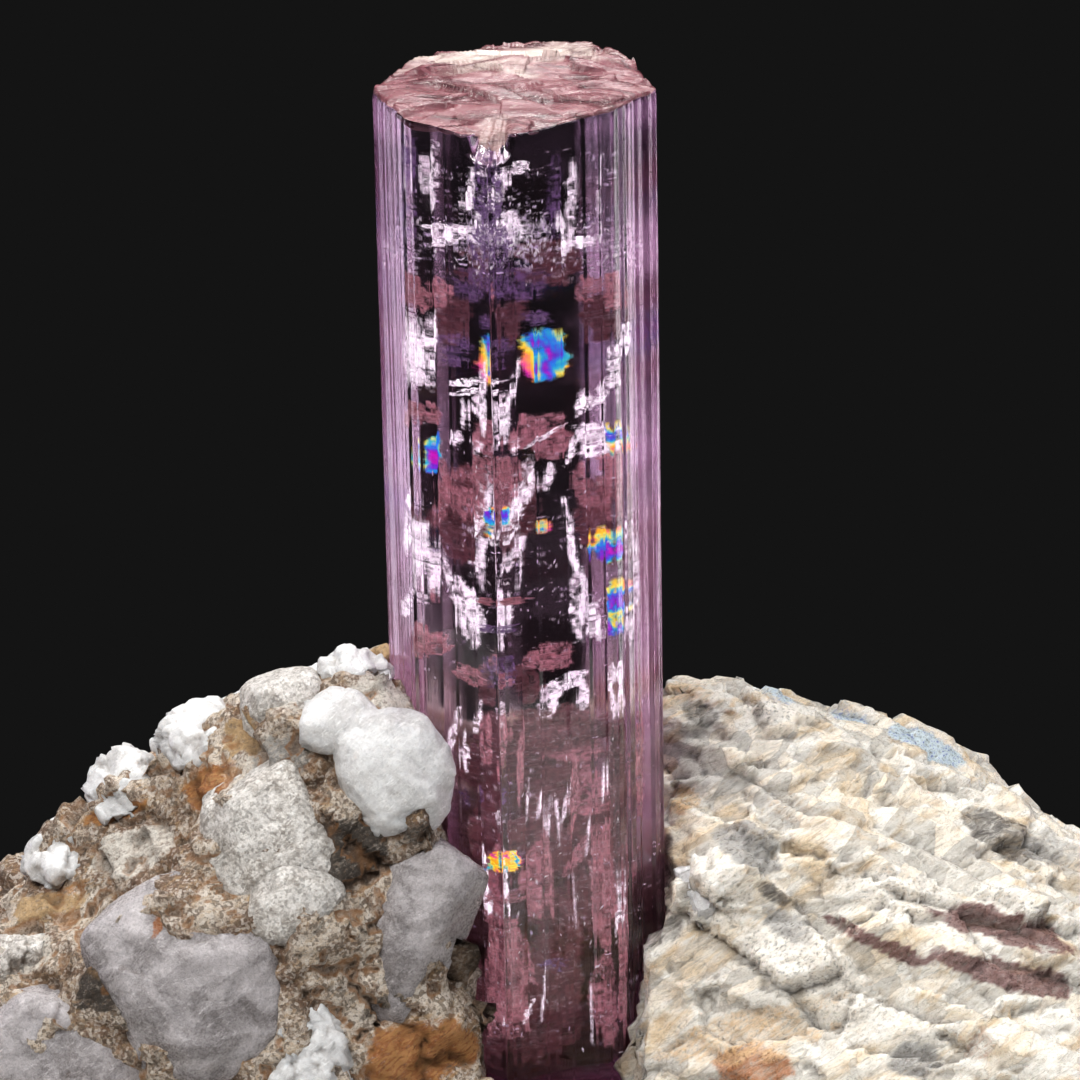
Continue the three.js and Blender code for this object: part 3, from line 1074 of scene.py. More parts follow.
@dataclass(frozen=True)
class QuartzFinish:
    """A lump of quartz with a broken or worn surface.

    Attributes:
        name: The material's name.
        light: Colour of its clean parts.
        shade: Colour of its cloudier parts.
        dirt_and_hollow_shade: Colour of the film in its hollows.
        grain: Height of the fine grain.
        depth: Share of the light that goes in and comes out elsewhere.
        roughness: Of the clean surface.
        clearness: Share of the light that goes straight through.
        dirty: How much of the surface the film covers, from 0 to 1.
        mottle: How strong the dark speckle is, from 0 to 1.
    """

    name: str
    light: Colour
    shade: Colour
    dirt_and_hollow_shade: Colour
    grain: float
    depth: float
    roughness: float
    clearness: float = 0.0
    dirty: float = 0.3
    mottle: float = 0.5

    def material(self) -> bpy.types.Material:
        """The quartz's material."""
        recipe = Recipe(self.name)
        clouds = recipe.noise((0.3, 0.3, 0.38), 7.0, 0.62, 1.0, turn=(0, 15, 0))
        grit = recipe.noise((7.0, 7.0, 7.0), 5.0, 0.7)
        cracks = recipe.cells(recipe.spaced((0.9, 0.9, 0.6), (20, 35, 10)), "DISTANCE_TO_EDGE")
        thread = recipe.noise((1.3, 1.3, 1.3), 6.0, 0.7, 1.4, turn=(30, 10, 40))
        colour = recipe.mix(recipe.rise(clouds, 0.40, 0.56), self.shade, self.light)
        pale = tuple(min(1.0, 1.35 * part) for part in self.light)
        dark = tuple(0.5 * part for part in self.shade)
        chips = recipe.cells(recipe.spaced((6.5, 6.5, 6.5), (20, 10, 0)), "F1", "Color")
        dark_chips = recipe.fall(chips, 0.28, 0.36)
        pale_chips = recipe.rise(chips, 0.62, 0.7)
        colour = recipe.over(colour, dark, dark_chips, self.mottle)
        colour = recipe.over(colour, pale, pale_chips, self.mottle)
        speckle = recipe.noise((1.6, 1.6, 1.9), 8.0, 0.85, 0.4, turn=(15, 0, 25))
        dark_speckle = recipe.fall(speckle, 0.40, 0.5)
        pale_speckle = recipe.rise(speckle, 0.52, 0.62)
        colour = recipe.over(colour, dark, dark_speckle, self.mottle)
        colour = recipe.over(colour, pale, pale_speckle, 0.3 + 0.8 * self.mottle)
        scratch = recipe.noise((2.2, 0.5, 9.0), 6.0, 0.75, 0.6, turn=(25, 40, 0))
        colour = recipe.over(colour, pale, recipe.rise(scratch, 0.57, 0.61), 0.7)
        stops = [
            (round(middle + step, 2), share)
            for middle in (0.43, 0.5, 0.56)
            for step, share in ((-0.01, 0.0), (0.0, 1.0), (0.01, 0.0))
        ]
        colour = recipe.over(colour, self.dirt_and_hollow_shade, recipe.ramp(thread, *stops), 1.1 * self.mottle)
        # The film darkens the hollows towards the dirt colour: partly dirt, partly painted shade.
        film = recipe.times(recipe.mask("hollow"), recipe.ramp(grit, (0.35, 0.2), (0.6, 1.0)))
        colour = recipe.over(colour, self.dirt_and_hollow_shade, film, self.dirty)
        torn = recipe.plus(recipe.times(speckle, 0.5), recipe.times(thread, 0.35))
        stains = (Stain.RUST, Stain.DARK, Stain.PALE, Stain.TAN)
        colour = recipe.stained(colour, stains, torn, (0.76, 0.0), (0.92, 0.9))
        line = recipe.rise(cracks, 0.0, 0.02)
        faces = recipe.cells(recipe.spaced((0.55, 0.55, 0.8), (0, 20, 30)))
        under = recipe.bump(faces, 0.3, 1.0, recipe.bump(speckle, 0.08))
        normal = recipe.bump(line, 0.03, 0.5, recipe.bump(grit, self.grain, 1.0, under))
        rough = recipe.ramp(grit, (0.3, self.roughness * 0.8), (0.7, self.roughness * 1.35))
        return recipe.finish(
            Base_Color=colour,
            Roughness=rough,
            Subsurface_Weight=self.depth,
            Subsurface_Radius=(1.0, 0.92, 0.86),
            Subsurface_Scale=1.6 * MM,
            Transmission_Weight=self.clearness,
            IOR=QUARTZ_INDEX,
            Normal=normal,
        )


@dataclass(frozen=True)
class HostRockFinish:
    """Granular rock: cream and brown grains, dark specks, rust and dust, with a rusty crust and
    painted shade in its hollows.

    Attributes:
        cream: Colour of the pale grains.
        brown: Colour of the grains between them.
        speck_and_hollow_shade: Colour of the dark specks, and of the painted shade laid over the
            hollows.
        dark_chip: Colour of the dark grains.
        pale_chip: Colour of the palest grains.
        ochre: Colour of the swirls in the rust.
        crust: Colour of the crust in the hollows.
    """

    cream: Colour = (0.70, 0.61, 0.52)
    brown: Colour = (0.22, 0.135, 0.09)
    speck_and_hollow_shade: Colour = (0.035, 0.027, 0.022)
    dark_chip: Colour = (0.12, 0.085, 0.06)
    pale_chip: Colour = (0.86, 0.80, 0.74)
    ochre: Colour = (0.62, 0.36, 0.15)
    crust: Colour = (0.40, 0.19, 0.07)

    def material(self) -> bpy.types.Material:
        """The rock's material."""
        recipe = Recipe("granular_host_rock")
        patches = recipe.noise((0.3, 0.3, 0.35), 5.0, 0.6, 0.8)
        grains = recipe.noise((5.5, 5.5, 5.5), 5.0, 0.75)
        grit = recipe.noise((15.0, 15.0, 15.0), 3.0, 0.7)
        bands = recipe.noise((1.0, 1.0, 3.4), 6.0, 0.65, 1.2, turn=(10, 28, 0))
        both = recipe.plus(recipe.times(grains, 0.45), recipe.times(patches, 0.6))
        colour = recipe.mix(recipe.rise(both, 0.45, 0.58), self.brown, self.cream)
        tan = recipe.rise(bands, 0.5, 0.62)
        colour = recipe.over(colour, STAIN_TONES[Stain.TAN], tan, 0.5)
        chips = recipe.cells(recipe.spaced((6.0, 6.0, 6.0), (20, 10, 0)), "F1", "Color")
        dark_chips = recipe.fall(chips, 0.3, 0.38)
        pale_chips = recipe.rise(chips, 0.66, 0.72)
        colour = recipe.over(colour, self.dark_chip, dark_chips, 0.6)
        colour = recipe.over(colour, self.pale_chip, pale_chips, 0.5)
        specks = recipe.fall(grit, 0.36, 0.44)
        colour = recipe.over(colour, self.speck_and_hollow_shade, specks, 0.75)
        torn = recipe.plus(recipe.times(grains, 0.5), recipe.times(bands, 0.4))
        speckle = recipe.noise((4.0, 4.0, 4.6), 7.0, 0.8, 0.3, turn=(0, 20, 0))
        colour = recipe.stained(
            colour, Stain, torn, (0.72, 0.0), (0.9, 0.95), grain=speckle
        )
        swirl = recipe.times(
            recipe.mask("rust"), recipe.rise(bands, 0.45, 0.55)
        )
        colour = recipe.over(colour, self.ochre, swirl, 0.5)
        crust = recipe.ramp(recipe.mask("hollow"), (0.04, 0.0), (0.22, 0.75), (0.7, 0.3))
        thick = recipe.ramp(patches, (0.42, 0.2), (0.56, 1.0))
        colour = recipe.over(colour, self.crust, crust, thick)
        # Painted shade: the hollows are darkened by half towards the dark speck colour.
        colour = recipe.over(colour, self.speck_and_hollow_shade, recipe.mask("hollow"), 0.5)
        under = recipe.bump(grains, 0.14, 1.0, recipe.bump(bands, 0.1, 0.7))
        return recipe.finish(
            Base_Color=colour,
            Roughness=recipe.ramp(grains, (0.3, 0.55), (0.7, 0.95)),
            Normal=recipe.bump(grit, 0.06, 0.9, under),
        )


@dataclass(frozen=True)
class StreakedQuartzFinish:
    """Cream and white quartz with grey clear parts and streaks along its grain.

    Attributes:
        white: Colour of the clean quartz.
        cream: Colour of the stained quartz.
        grey: Colour of the clear parts.
        buff: Colour of the palest stained panes.
        seam: Colour of the seams between panes.
        thread: Colour of the thin dark streaks.
        dirt_and_hollow_shade: Colour laid over its hollows, a painted shade.
        ink: Colour of the deep blue spots in the bloom.
        depth: Share of the light that goes in and comes out elsewhere.
    """

    white: Colour = (0.80, 0.77, 0.71)
    cream: Colour = (0.66, 0.53, 0.37)
    grey: Colour = (0.27, 0.25, 0.22)
    buff: Colour = (0.80, 0.68, 0.52)
    seam: Colour = (0.22, 0.17, 0.13)
    thread: Colour = (0.16, 0.11, 0.08)
    dirt_and_hollow_shade: Colour = (0.10, 0.08, 0.065)
    ink: Colour = (0.04, 0.07, 0.30)
    depth: float = 0.45

    def material(self) -> bpy.types.Material:
        """The streaked quartz's material."""
        recipe = Recipe("streaked_quartz")
        turn = (0, 26, -24)
        clouds = recipe.noise((0.16, 0.4, 0.5), 6.0, 0.6, 1.1, turn=turn)
        streaks = recipe.noise((0.35, 1.7, 2.2), 7.0, 0.66, 1.3, turn=turn)
        grains = recipe.noise((3.5, 5.0, 5.5), 5.0, 0.7, turn=turn)
        grit = recipe.noise((14.0, 14.0, 14.0), 3.0, 0.7)
        waves = recipe.noise((0.5, 1.0, 1.2), 5.0, 0.6, 0.0, turn=turn)
        wavy = recipe.mix(0.5, recipe.spaced((0.8, 1.6, 2.0), turn), waves)
        panes = recipe.cells(wavy, "F1", "Color")
        seams = recipe.fall(recipe.cells(wavy, "DISTANCE_TO_EDGE"), 0.0, 0.035)
        colour = recipe.mix(recipe.rise(clouds, 0.36, 0.50), self.cream, self.white)
        thread = recipe.ramp(streaks, (0.505, 0.0), (0.52, 1.0), (0.535, 0.0))
        layers = (
            (self.grey, recipe.fall(panes, 0.3, 0.42), 0.45),
            (self.buff, recipe.rise(panes, 0.62, 0.68), 0.4),
            (self.seam, seams, 0.3),
            (self.grey, recipe.fall(streaks, 0.34, 0.42), 0.65),
            (self.grey, recipe.fall(grains, 0.34, 0.42), 0.35),
            (self.thread, thread, 0.5),
        )
        for tone, cover, strength in layers:
            colour = recipe.over(colour, tone, cover, strength)
        torn = recipe.plus(recipe.times(streaks, 0.6), recipe.times(grains, 0.3))
        colour = recipe.stained(colour, Stain, torn, (0.66, 0.0), (0.9, 0.9), grain=grains)
        # Painted shade: the hollows are darkened by half towards this near-black colour.
        colour = recipe.over(colour, self.dirt_and_hollow_shade, recipe.mask("hollow"), 0.5)
        spots = recipe.ramp(grains, (0.56, 0.0), (0.6, 0.85))
        colour = recipe.over(colour, self.ink, recipe.mask("blue"), spots)
        flakes = recipe.cells(recipe.spaced((0.55, 1.2, 1.5), turn))
        small_flakes = recipe.cells(recipe.spaced((1.6, 3.0, 3.4), turn))
        chips = recipe.bump(small_flakes, 0.05, 1.0, recipe.bump(flakes, 0.18, 1.0))
        under = recipe.bump(grains, 0.07, 1.0, recipe.bump(streaks, 0.1, 0.9, chips))
        return recipe.finish(
            Base_Color=colour,
            Roughness=recipe.ramp(grains, (0.3, 0.18), (0.7, 0.42)),
            Subsurface_Weight=self.depth,
            Subsurface_Radius=(1.0, 0.85, 0.7),
            Subsurface_Scale=1.2 * MM,
            IOR=QUARTZ_INDEX,
            Normal=recipe.bump(grit, 0.03, 0.8, under),
        )


@dataclass(frozen=True)
class FloorFinish:
    """A plain pale studio surface.

    Attributes:
        pale: Its colour.
    """

    pale: Colour = (0.74, 0.73, 0.71)

    def material(self) -> bpy.types.Material:
        """The floor's material."""
        recipe = Recipe("pale_floor")
        cloth = recipe.noise((0.6, 0.6, 0.6), 4.0, 0.6)
        darker = tuple(0.96 * part for part in self.pale)
        return recipe.finish(
            Base_Color=recipe.mix(cloth, darker, self.pale),
            Roughness=0.8,
            Normal=recipe.bump(cloth, 0.02),
        )


QUARTZ_FINISHES: dict[str, QuartzFinish] = {
    "milky_quartz": QuartzFinish(
        "milky_quartz", (0.80, 0.80, 0.81), (0.62, 0.61, 0.61), (0.40, 0.33, 0.25),
        grain=0.04, depth=0.5, roughness=0.3, dirty=0.35, mottle=0.14,
    ),
    "frosted_quartz": QuartzFinish(
        "frosted_quartz", (0.72, 0.70, 0.68), (0.42, 0.39, 0.36), (0.34, 0.22, 0.13),
        grain=0.08, depth=0.2, roughness=0.45, dirty=0.6, mottle=0.5,
    ),
    "smoky_quartz": QuartzFinish(
        "smoky_quartz", (0.50, 0.47, 0.485), (0.25, 0.23, 0.235), (0.30, 0.19, 0.11),
        grain=0.03, depth=0.3, roughness=0.26, clearness=0.1, dirty=0.75, mottle=0.14,
    ),
}

VEIL_FINISHES: dict[VeilKind, VeilFinish] = {
    # White sheets: partly the cracks' own whiteness, partly a painted reflection of the lamps, made
    # to glow strongly.
    VeilKind.WHITE: VeilFinish(
        VeilKind.WHITE, (1.0, 0.93, 1.0), (0.16, 0.08, 0.14), 0.54, painted_glow=0.85
    ),
    VeilKind.ROSE: VeilFinish(
        VeilKind.ROSE, (0.56, 0.26, 0.31), (0.12, 0.04, 0.055), 0.52, painted_glow=0.4, body=0.9
    ),
    VeilKind.LILAC: VeilFinish(
        VeilKind.LILAC, (0.34, 0.20, 0.44), (0.03, 0.01, 0.05), 0.55, painted_glow=0.28, body=0.7
    ),
    VeilKind.FILM: VeilFinish(VeilKind.FILM, (1, 1, 1), (1, 1, 1), 0.46, 0.15, painted_glow=0.62, body=0.9),
    # Smoke sheets: dark rose, painted shade that darkens the crystal where it looks dark.
    VeilKind.SMOKE: VeilFinish(
        VeilKind.SMOKE, (0.27, 0.11, 0.13), (0.065, 0.022, 0.03), 0.49, painted_glow=0.22, body=0.85
    ),
}


# The crystal


@dataclass
class TopazCrystal:
    """The striated prism with its broken top.

    Attributes:
        pitch: Spacing of the outline's points.
        rings: Number of rings from foot to rim.
        top_rings: Number of rings from the rim to the middle of the top.
        stria_height: Heights of the coarse, middling and fine striae.
        stria_spread: Their spacings.
        corner_chip: Depth of the chip on the front edge.
        chip_reach: Half its width.
        corner_cut: How far the chip cuts into the front edge.
        fine_start: Share of the height at which the fine rings below the rim start.
        fine_rings: Their number.
        chip_start: Share of the height at which the chip and its rough face start.
        bold: How many times higher the striae are on the two broad side faces.
        dome: Height of the broken top's middle.
        step_height: Half the height of its long cleavage steps.
        slab_height: Of its flat slabs.
        hackle_height: Of its fine hackles.
        tilt: Rise of the top for each millimetre to the back.
        wear: How far the rim is worn in.
        wear_start: Share of the height at which that wear starts.
        ledges: Long thin steps in the front faces: face number, share of the face's
            width, and height.
    """

    pitch: float = 0.075
    rings: int = 64
    top_rings: int = 46
    stria_height: tuple[float, float, float] = (0.016, 0.009, 0.004)
    stria_spread: tuple[float, float, float] = (1.6, 0.55, 0.2)
    corner_chip: float = 0.3
    chip_reach: float = 1.25
    corner_cut: float = 1.25
    fine_start: float = 0.975
    fine_rings: int = 14
    chip_start: float = 0.981
    bold: float = 3.6
    dome: float = 0.55
    step_height: float = 0.26
    slab_height: float = 0.36
    hackle_height: float = 0.05
    tilt: float = 0.05
    wear: float = 0.06
    wear_start: float = 0.998
    ledges: tuple[tuple[int, float, float], ...] = (
        (0, 0.18, 0.10),
        (0, 0.46, 0.08),
        (0, 0.74, 0.12),
        (1, 0.06, 0.06),
        (1, 0.27, -0.035),
        (1, 0.48, 0.04),
        (1, 0.72, -0.05),
        (2, 0.07, 0.05),
        (2, 0.19, -0.035),
        (2, 0.36, 0.045),
        (2, 0.58, -0.04),
        (2, 0.78, 0.05),
        (2, 0.91, -0.05),
        (3, 0.2, 0.10),
        (3, 0.48, -0.09),
        (3, 0.75, 0.11),
    )
    body: bpy.types.Object | None = field(default=None, init=False)

    def outline(self) -> tuple[np.ndarray, np.ndarray, np.ndarray, np.ndarray, np.ndarray]:
        """The prism's outline at the given pitch.

        Returns:
            Places seen from above, outward normals, distances along the outline, a
            measure that falls to 0 at the corners, and the number of each point's face.
        """
        start = np.array(PRISM.corners)
        way = np.roll(start, -1, axis=0) - start
        normals, _ = PRISM.sides()
        lengths = np.linalg.norm(way, axis=1)
        counts = np.maximum(4, np.round(lengths / self.pitch)).astype(int)
        face = np.repeat(np.arange(len(start)), counts)
        share = np.concatenate([np.arange(count) / count for count in counts])
        before = np.concatenate([[0], np.cumsum(lengths)[:-1]])
        to_corner = np.minimum(share, 1 - share) * lengths[face]
        return (
            start[face] + way[face] * share[:, None],
            normals[face],
            before[face] + share * lengths[face],
            smooth_step(to_corner, 0.0, 0.3),
            face,
        )

    def striae(self, along: np.ndarray, height: np.ndarray) -> np.ndarray:
        """Lift of the side faces by growth striae.

        Formula: three layers of noise along the outline, hardly changing with height,
        the coarsest one squared off so that it makes steps.

        Args:
            along: Distances along the outline.
            height: Heights above the foot.

        Returns:
            The lift for each point.
        """
        total = np.zeros(len(along))
        for layer, (lift, spread) in enumerate(zip(self.stria_height, self.stria_spread)):
            flow = side_by_side(along / spread, height * 0.012 * (layer + 1), 3.7 * layer)
            wave = soft_noise(flow, 50 + layer)
            total += lift * (np.tanh(2.5 * wave) if layer == 0 else wave)
        return total

    def ledge_lift(self, along: np.ndarray, face: np.ndarray) -> np.ndarray:
        """Lift of the front faces by their long thin steps.

        Formula: each step rises within a tenth of a millimetre and falls away again
        over the next millimetre.

        Args:
            along: Distances along the outline.
            face: Face numbers.

        Returns:
            The lift for each point of the outline.
        """
        lift = np.zeros(len(along))
        for number, share, height in self.ledges:
            spots = along[face == number]
            past = along - (spots[0] + share * (spots[-1] - spots[0]))
            rise = 0.5 * (1 + np.tanh(past / 0.05))
            lift += height * rise * np.exp(-np.maximum(past, 0) / 0.7)
        return lift

    def front_chip(self, along: np.ndarray, face: np.ndarray) -> np.ndarray:
        """1 in the middle of the chip on the front edge, falling to 0 beside it."""
        front = along[np.argmax(face == 2)]
        return np.exp(-(((along - front) / self.chip_reach) ** 4))

    def notches(self, along: np.ndarray, face: np.ndarray) -> np.ndarray:
        """Depth of the chips around the rim, with the large one on the front edge.

        Args:
            along: Distances along the outline.
            face: Face numbers.

        Returns:
            The depth below the rim for each point of the outline.
        """
        flow = side_by_side(along * 0.9, 0.0, 4.2)
        small = np.maximum(layered_noise(flow, 3, 91), 0)
        fine = np.abs(layered_noise(flow * 3.1, 2, 92))
        back = np.where((face >= 4) & (face <= 8), 1.0, 0.25)  # the front rim is less chipped
        chip = self.front_chip(along, face)
        front = self.corner_chip * chip * (0.75 + 0.5 * fine)
        return 0.55 * back * small + 0.10 * back * fine + front

    def relief(self, places: np.ndarray) -> np.ndarray:
        """Height of the broken top above its rim plane.

        Formula: a low dome tilted to the front, with long cleavage steps across the
        crystal, flat slabs and fine hackles, summed.

        Args:
            places: Points seen from above.

        Returns:
            The height of each.
        """
        x, y = places[:, 0], places[:, 1]
        dome = np.maximum(0, 1 - (x**2 + y**2) / PRISM.corners[4][0] ** 2)
        steps = np.tanh(3 * layered_noise(side_by_side(x * 0.16 + 3, y * 0.55, 1.7), 3, 21))
        hackles = layered_noise(side_by_side(x * 0.7, y * 3.2 + 0.5 * x, 5.2), 4, 22)
        slabs, _ = broken_faces(side_by_side(x * 0.42, y * 0.75, 0.0), 23)
        return (
            self.dome * dome
            + self.step_height * steps
            + self.hackle_height * hackles
            + self.slab_height * slabs
            + self.tilt * y
        )

    def build(self) -> None:
        """Makes the closed mesh: sides, broken top and foot."""
        places, normals, along, calm, face = self.outline()
        count = len(places)
        notch = self.notches(along, face)
        upper = np.linspace(self.fine_start, 1.0, self.fine_rings)
        shares = np.concatenate([np.linspace(0, self.fine_start, self.rings)[:-1], upper])
        near_rim = (shares - self.chip_start) / (1 - self.chip_start)
        rim = PRISM.rim - notch
        bold = np.where((face == 0) | (face == 3), self.bold, 1.0)
        rings = []
        ledges = self.ledge_lift(along, face)
        chip = self.front_chip(along, face)
        rough = layered_noise(side_by_side(along * 1.7, 0.0, 8.1), 3, 95)
        inward_way = -places / np.linalg.norm(places, axis=1, keepdims=True)
        for share, near in zip(shares, near_rim):
            height = PRISM.foot + (rim - PRISM.foot) * share
            lift = self.striae(along, height) * bold + ledges
            worn = self.wear * float(share > self.wear_start) * (0.4 + 3 * notch)
            cut = self.corner_cut * chip * max(0.0, near) ** 0.8 * (1 + 0.5 * rough)
            side = places + normals * (lift * calm)[:, None] + inward_way * (worn + cut)[:, None]
            rings.append(np.column_stack([side, height]))
        edge = rings[-1][:, :2]
        inward = 1 - np.linspace(0, 1, self.top_rings + 1)[1:] ** 1.15
        for share in inward:
            spot = edge * max(share, 0.0004)  # the last ring stays open, round the middle
            lowered = notch * smooth_step(np.full(count, share), 0.74, 1.0)
            rings.append(np.column_stack([spot, PRISM.rim + self.relief(spot) - lowered]))
        points = np.concatenate(rings)
        number = len(rings)
        caps = [[0.0, 0.0, PRISM.foot], [0.0, 0.0, float(np.mean(rings[-1][:, 2]))]]
        points = np.concatenate([points, np.array(caps)])
        foot, top = len(points) - 2, len(points) - 1
        here = np.arange(count)
        after = (here + 1) % count
        last = (number - 1) * count
        foot_faces = np.stack([np.full(count, foot), after, here], axis=1)
        top_faces = np.stack([last + here, last + after, np.full(count, top)], axis=1)
        self.body = mesh_object(
            "topaz_crystal_body",
            PRISM.leaned(points) + SHIFT,
            grid_faces(number, count, wrapped=True),
            foot_faces,
            top_faces,
        )
        side_faces = (len(shares) - 1) * count
        total = len(self.body.data.polygons)
        slots = np.zeros(total, np.int32)
        slots[side_faces:] = 1
        for ring, near in enumerate(near_rim[:-1]):
            if near > 0:
                broken = near > 1.25 - chip * (0.8 + 1.1 * rough)
                slots[ring * count : (ring + 1) * count] = broken
        self.body.data.polygons.foreach_set("material_index", slots)
        cream = np.hypot((points[:, 0] + 0.4) / 4.4, (points[:, 1] - 3.4) / 2.3)
        cream += 0.9 * layered_noise(points * np.array([0.35, 1.5, 0.0]) + 2, 4, 33)
        at_chip = (points[:-2, 2] > PRISM.rim - 2.6) & (points[:-2, 1] < -4.2)
        chipped = np.tile(chip, number) * at_chip
        frosted = np.concatenate([0.35 * chipped, [0.0, 0.0]])
        add_mask(self.body.data, "veil", np.maximum(1 - smooth_step(cream, 0.45, 1.2), frosted))

    def dress(self) -> None:
        """Gives the clear sides and the broken top their materials."""
        self.body.data.materials.append(TopazFinish().material())
        self.body.data.materials.append(BrokenTopazFinish().material())
        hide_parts("topaz_crystal")
        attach(self.body, "root")


VEIL_RAGGED = 0.7  # how uneven the borders of the cracks are, as a share of their width
VEIL_SWAY = 0.45  # how far they sway sideways, as a share of half their width
VEIL_WAVES = 0.9  # how far their sheets wave in depth
VEIL_SHALLOWEST = 0.25  # least depth under the crystal's face
VEIL_THICKNESS = 0.07
VEIL_ROOM = 0.2  # how far inside the crystal's faces they stay


@dataclass(frozen=True)
class Veil:
    """One healed crack, placed by where the photograph shows it.

    Attributes:
        kind: Its look.
        across: Pixel column of its middle.
        down: Pixel row of its middle.
        width: Pixels across.
        height: Pixels from end to end.
        depth: Millimetres inside the crystal along the line of sight.
        turn: Degrees that its top leans to the right.
        blunt: 1.5 for a leaf with pointed ends, 5 for nearly a rectangle.
    """

    kind: VeilKind
    across: float
    down: float
    width: float
    height: float
    depth: float
    turn: float = 0.0
    blunt: float = 2.2

    def sheet(self, seed: int, rows: int = 36, columns: int = 16) -> tuple[np.ndarray, ...]:
        """The crack as a thin closed lens.

        Formula: rows run along the crack and columns across it. The half width at a row
        is (1 - |v|^blunt)^(1/blunt), made uneven by noise. The depth waves with noise
        and is least in the middle, and the thickness falls to nothing at the border.

        Args:
            seed: Of its noise.
            rows: Points along it.
            columns: Points across it.

        Returns:
            Points in axis coordinates, quads, and two masks: distance from the border,
            and the film's thickness.
        """
        v, u = np.meshgrid(np.linspace(-1, 1, rows), np.linspace(-1, 1, columns), indexing="ij")
        u, v = u.ravel(), v.ravel()
        own = seed * 1.37
        ragged = layered_noise(side_by_side(v * 2.6, np.sign(u) * 1.7, own), 3, seed)
        sway = layered_noise(side_by_side(v * 1.3, own, own), 2, seed + 3)
        half = (1 - np.abs(v) ** self.blunt) ** (1 / self.blunt) * (1 + VEIL_RAGGED * ragged)
        half = np.maximum(half, 0.04 * (1 - v**2))
        side = (u * half + VEIL_SWAY * sway) * self.width / 2
        run = v * self.height / 2
        angle = math.radians(self.turn)
        across = self.across + side * math.cos(angle) - run * math.sin(angle)
        down = self.down + side * math.sin(angle) + run * math.cos(angle)
        waves = layered_noise(side_by_side(u * 1.6, v * 2.4, own), 3, seed + 5)
        depth = self.depth + VEIL_WAVES * waves + 0.6 * u**2 - 0.5 * v * u
        depth = np.maximum(depth, VEIL_SHALLOWEST)
        thick = VEIL_THICKNESS * (1 - u**2) * (1 - v**2) ** 0.5
        near = PRISM.seen_inside(across, down, depth, TopazFinish().index)
        far = PRISM.seen_inside(across, down, depth + thick, TopazFinish().index)
        quads = grid_faces(rows, columns, wrapped=False)
        faces = np.concatenate([quads, quads[:, ::-1] + len(u)])
        edge = (1 - u**2) * (1 - v**2)
        spread = 0.85 * (1 - np.hypot(u * 0.95, v * 0.95)) + 0.25 * waves - 0.16 * u + 0.06
        return (
            PRISM.kept_in(np.concatenate([near, far]), VEIL_ROOM),
            faces,
            np.tile(edge, 2),
            np.tile(spread, 2),
        )


FLAKE_DEPTHS = (0.15, 5.0)  # least and greatest, along the line of sight
FLAKE_SHAPE = (1.0, 0.3, 0.15)  # length, width and thickness, as shares of the length
FLAKE_ROOM = 0.08  # how far inside the crystal's faces they stay


@dataclass(frozen=True)
class SpeckCloud:
    """Many tiny bright flakes in one part of the crystal.

    Attributes:
        left: Pixel column where the cloud starts.
        top: Pixel row where it starts.
        right: Pixel column where it ends.
        bottom: Pixel row where it ends.
        count: Number of flakes.
        size: Length of the largest flake in millimetres.
    """

    left: float
    top: float
    right: float
    bottom: float
    count: int
    size: float

    def flakes(self, seed: int) -> tuple[np.ndarray, np.ndarray]:
        """The flakes as flattened eight-sided grains.

        Formula: six corners on three axes that are turned at random, the longest mostly
        upright, at places that crowd towards the middle row of the cloud.

        Args:
            seed: Of the random numbers.

        Returns:
            Points in axis coordinates, and triangles.
        """
        draw = np.random.default_rng(seed)
        across = draw.uniform(self.left, self.right, self.count)
        down = (self.top + self.bottom) / 2 + (self.bottom - self.top) / 2 * (
            draw.uniform(-1, 1, self.count) * draw.uniform(0, 1, self.count) ** 0.5
        )
        depth = draw.uniform(*FLAKE_DEPTHS, self.count)
        middle = PRISM.seen_inside(across, down, depth, TopazFinish().index)
        axes = draw.normal(size=(self.count, 3, 3))
        axes[:, 0, 2] *= 4.0
        frames, _ = np.linalg.qr(np.swapaxes(axes, 1, 2))
        frames = np.swapaxes(frames, 1, 2)
        reach = self.size * draw.uniform(0.25, 1.0, self.count) ** 1.5
        spans = reach[:, None] * np.array(FLAKE_SHAPE) / 2
        arms = frames * spans[:, :, None]
        corners = middle[:, None, :] + np.concatenate([arms, -arms], axis=1)
        sides = np.array(
            [[0, 1, 2], [1, 3, 2], [3, 4, 2], [4, 0, 2], [1, 0, 5], [3, 1, 5], [4, 3, 5], [0, 4, 5]]
        )
        faces = (np.arange(self.count)[:, None, None] * 6 + sides[None]).reshape(-1, 3)
        return PRISM.kept_in(corners.reshape(-1, 3), FLAKE_ROOM), faces


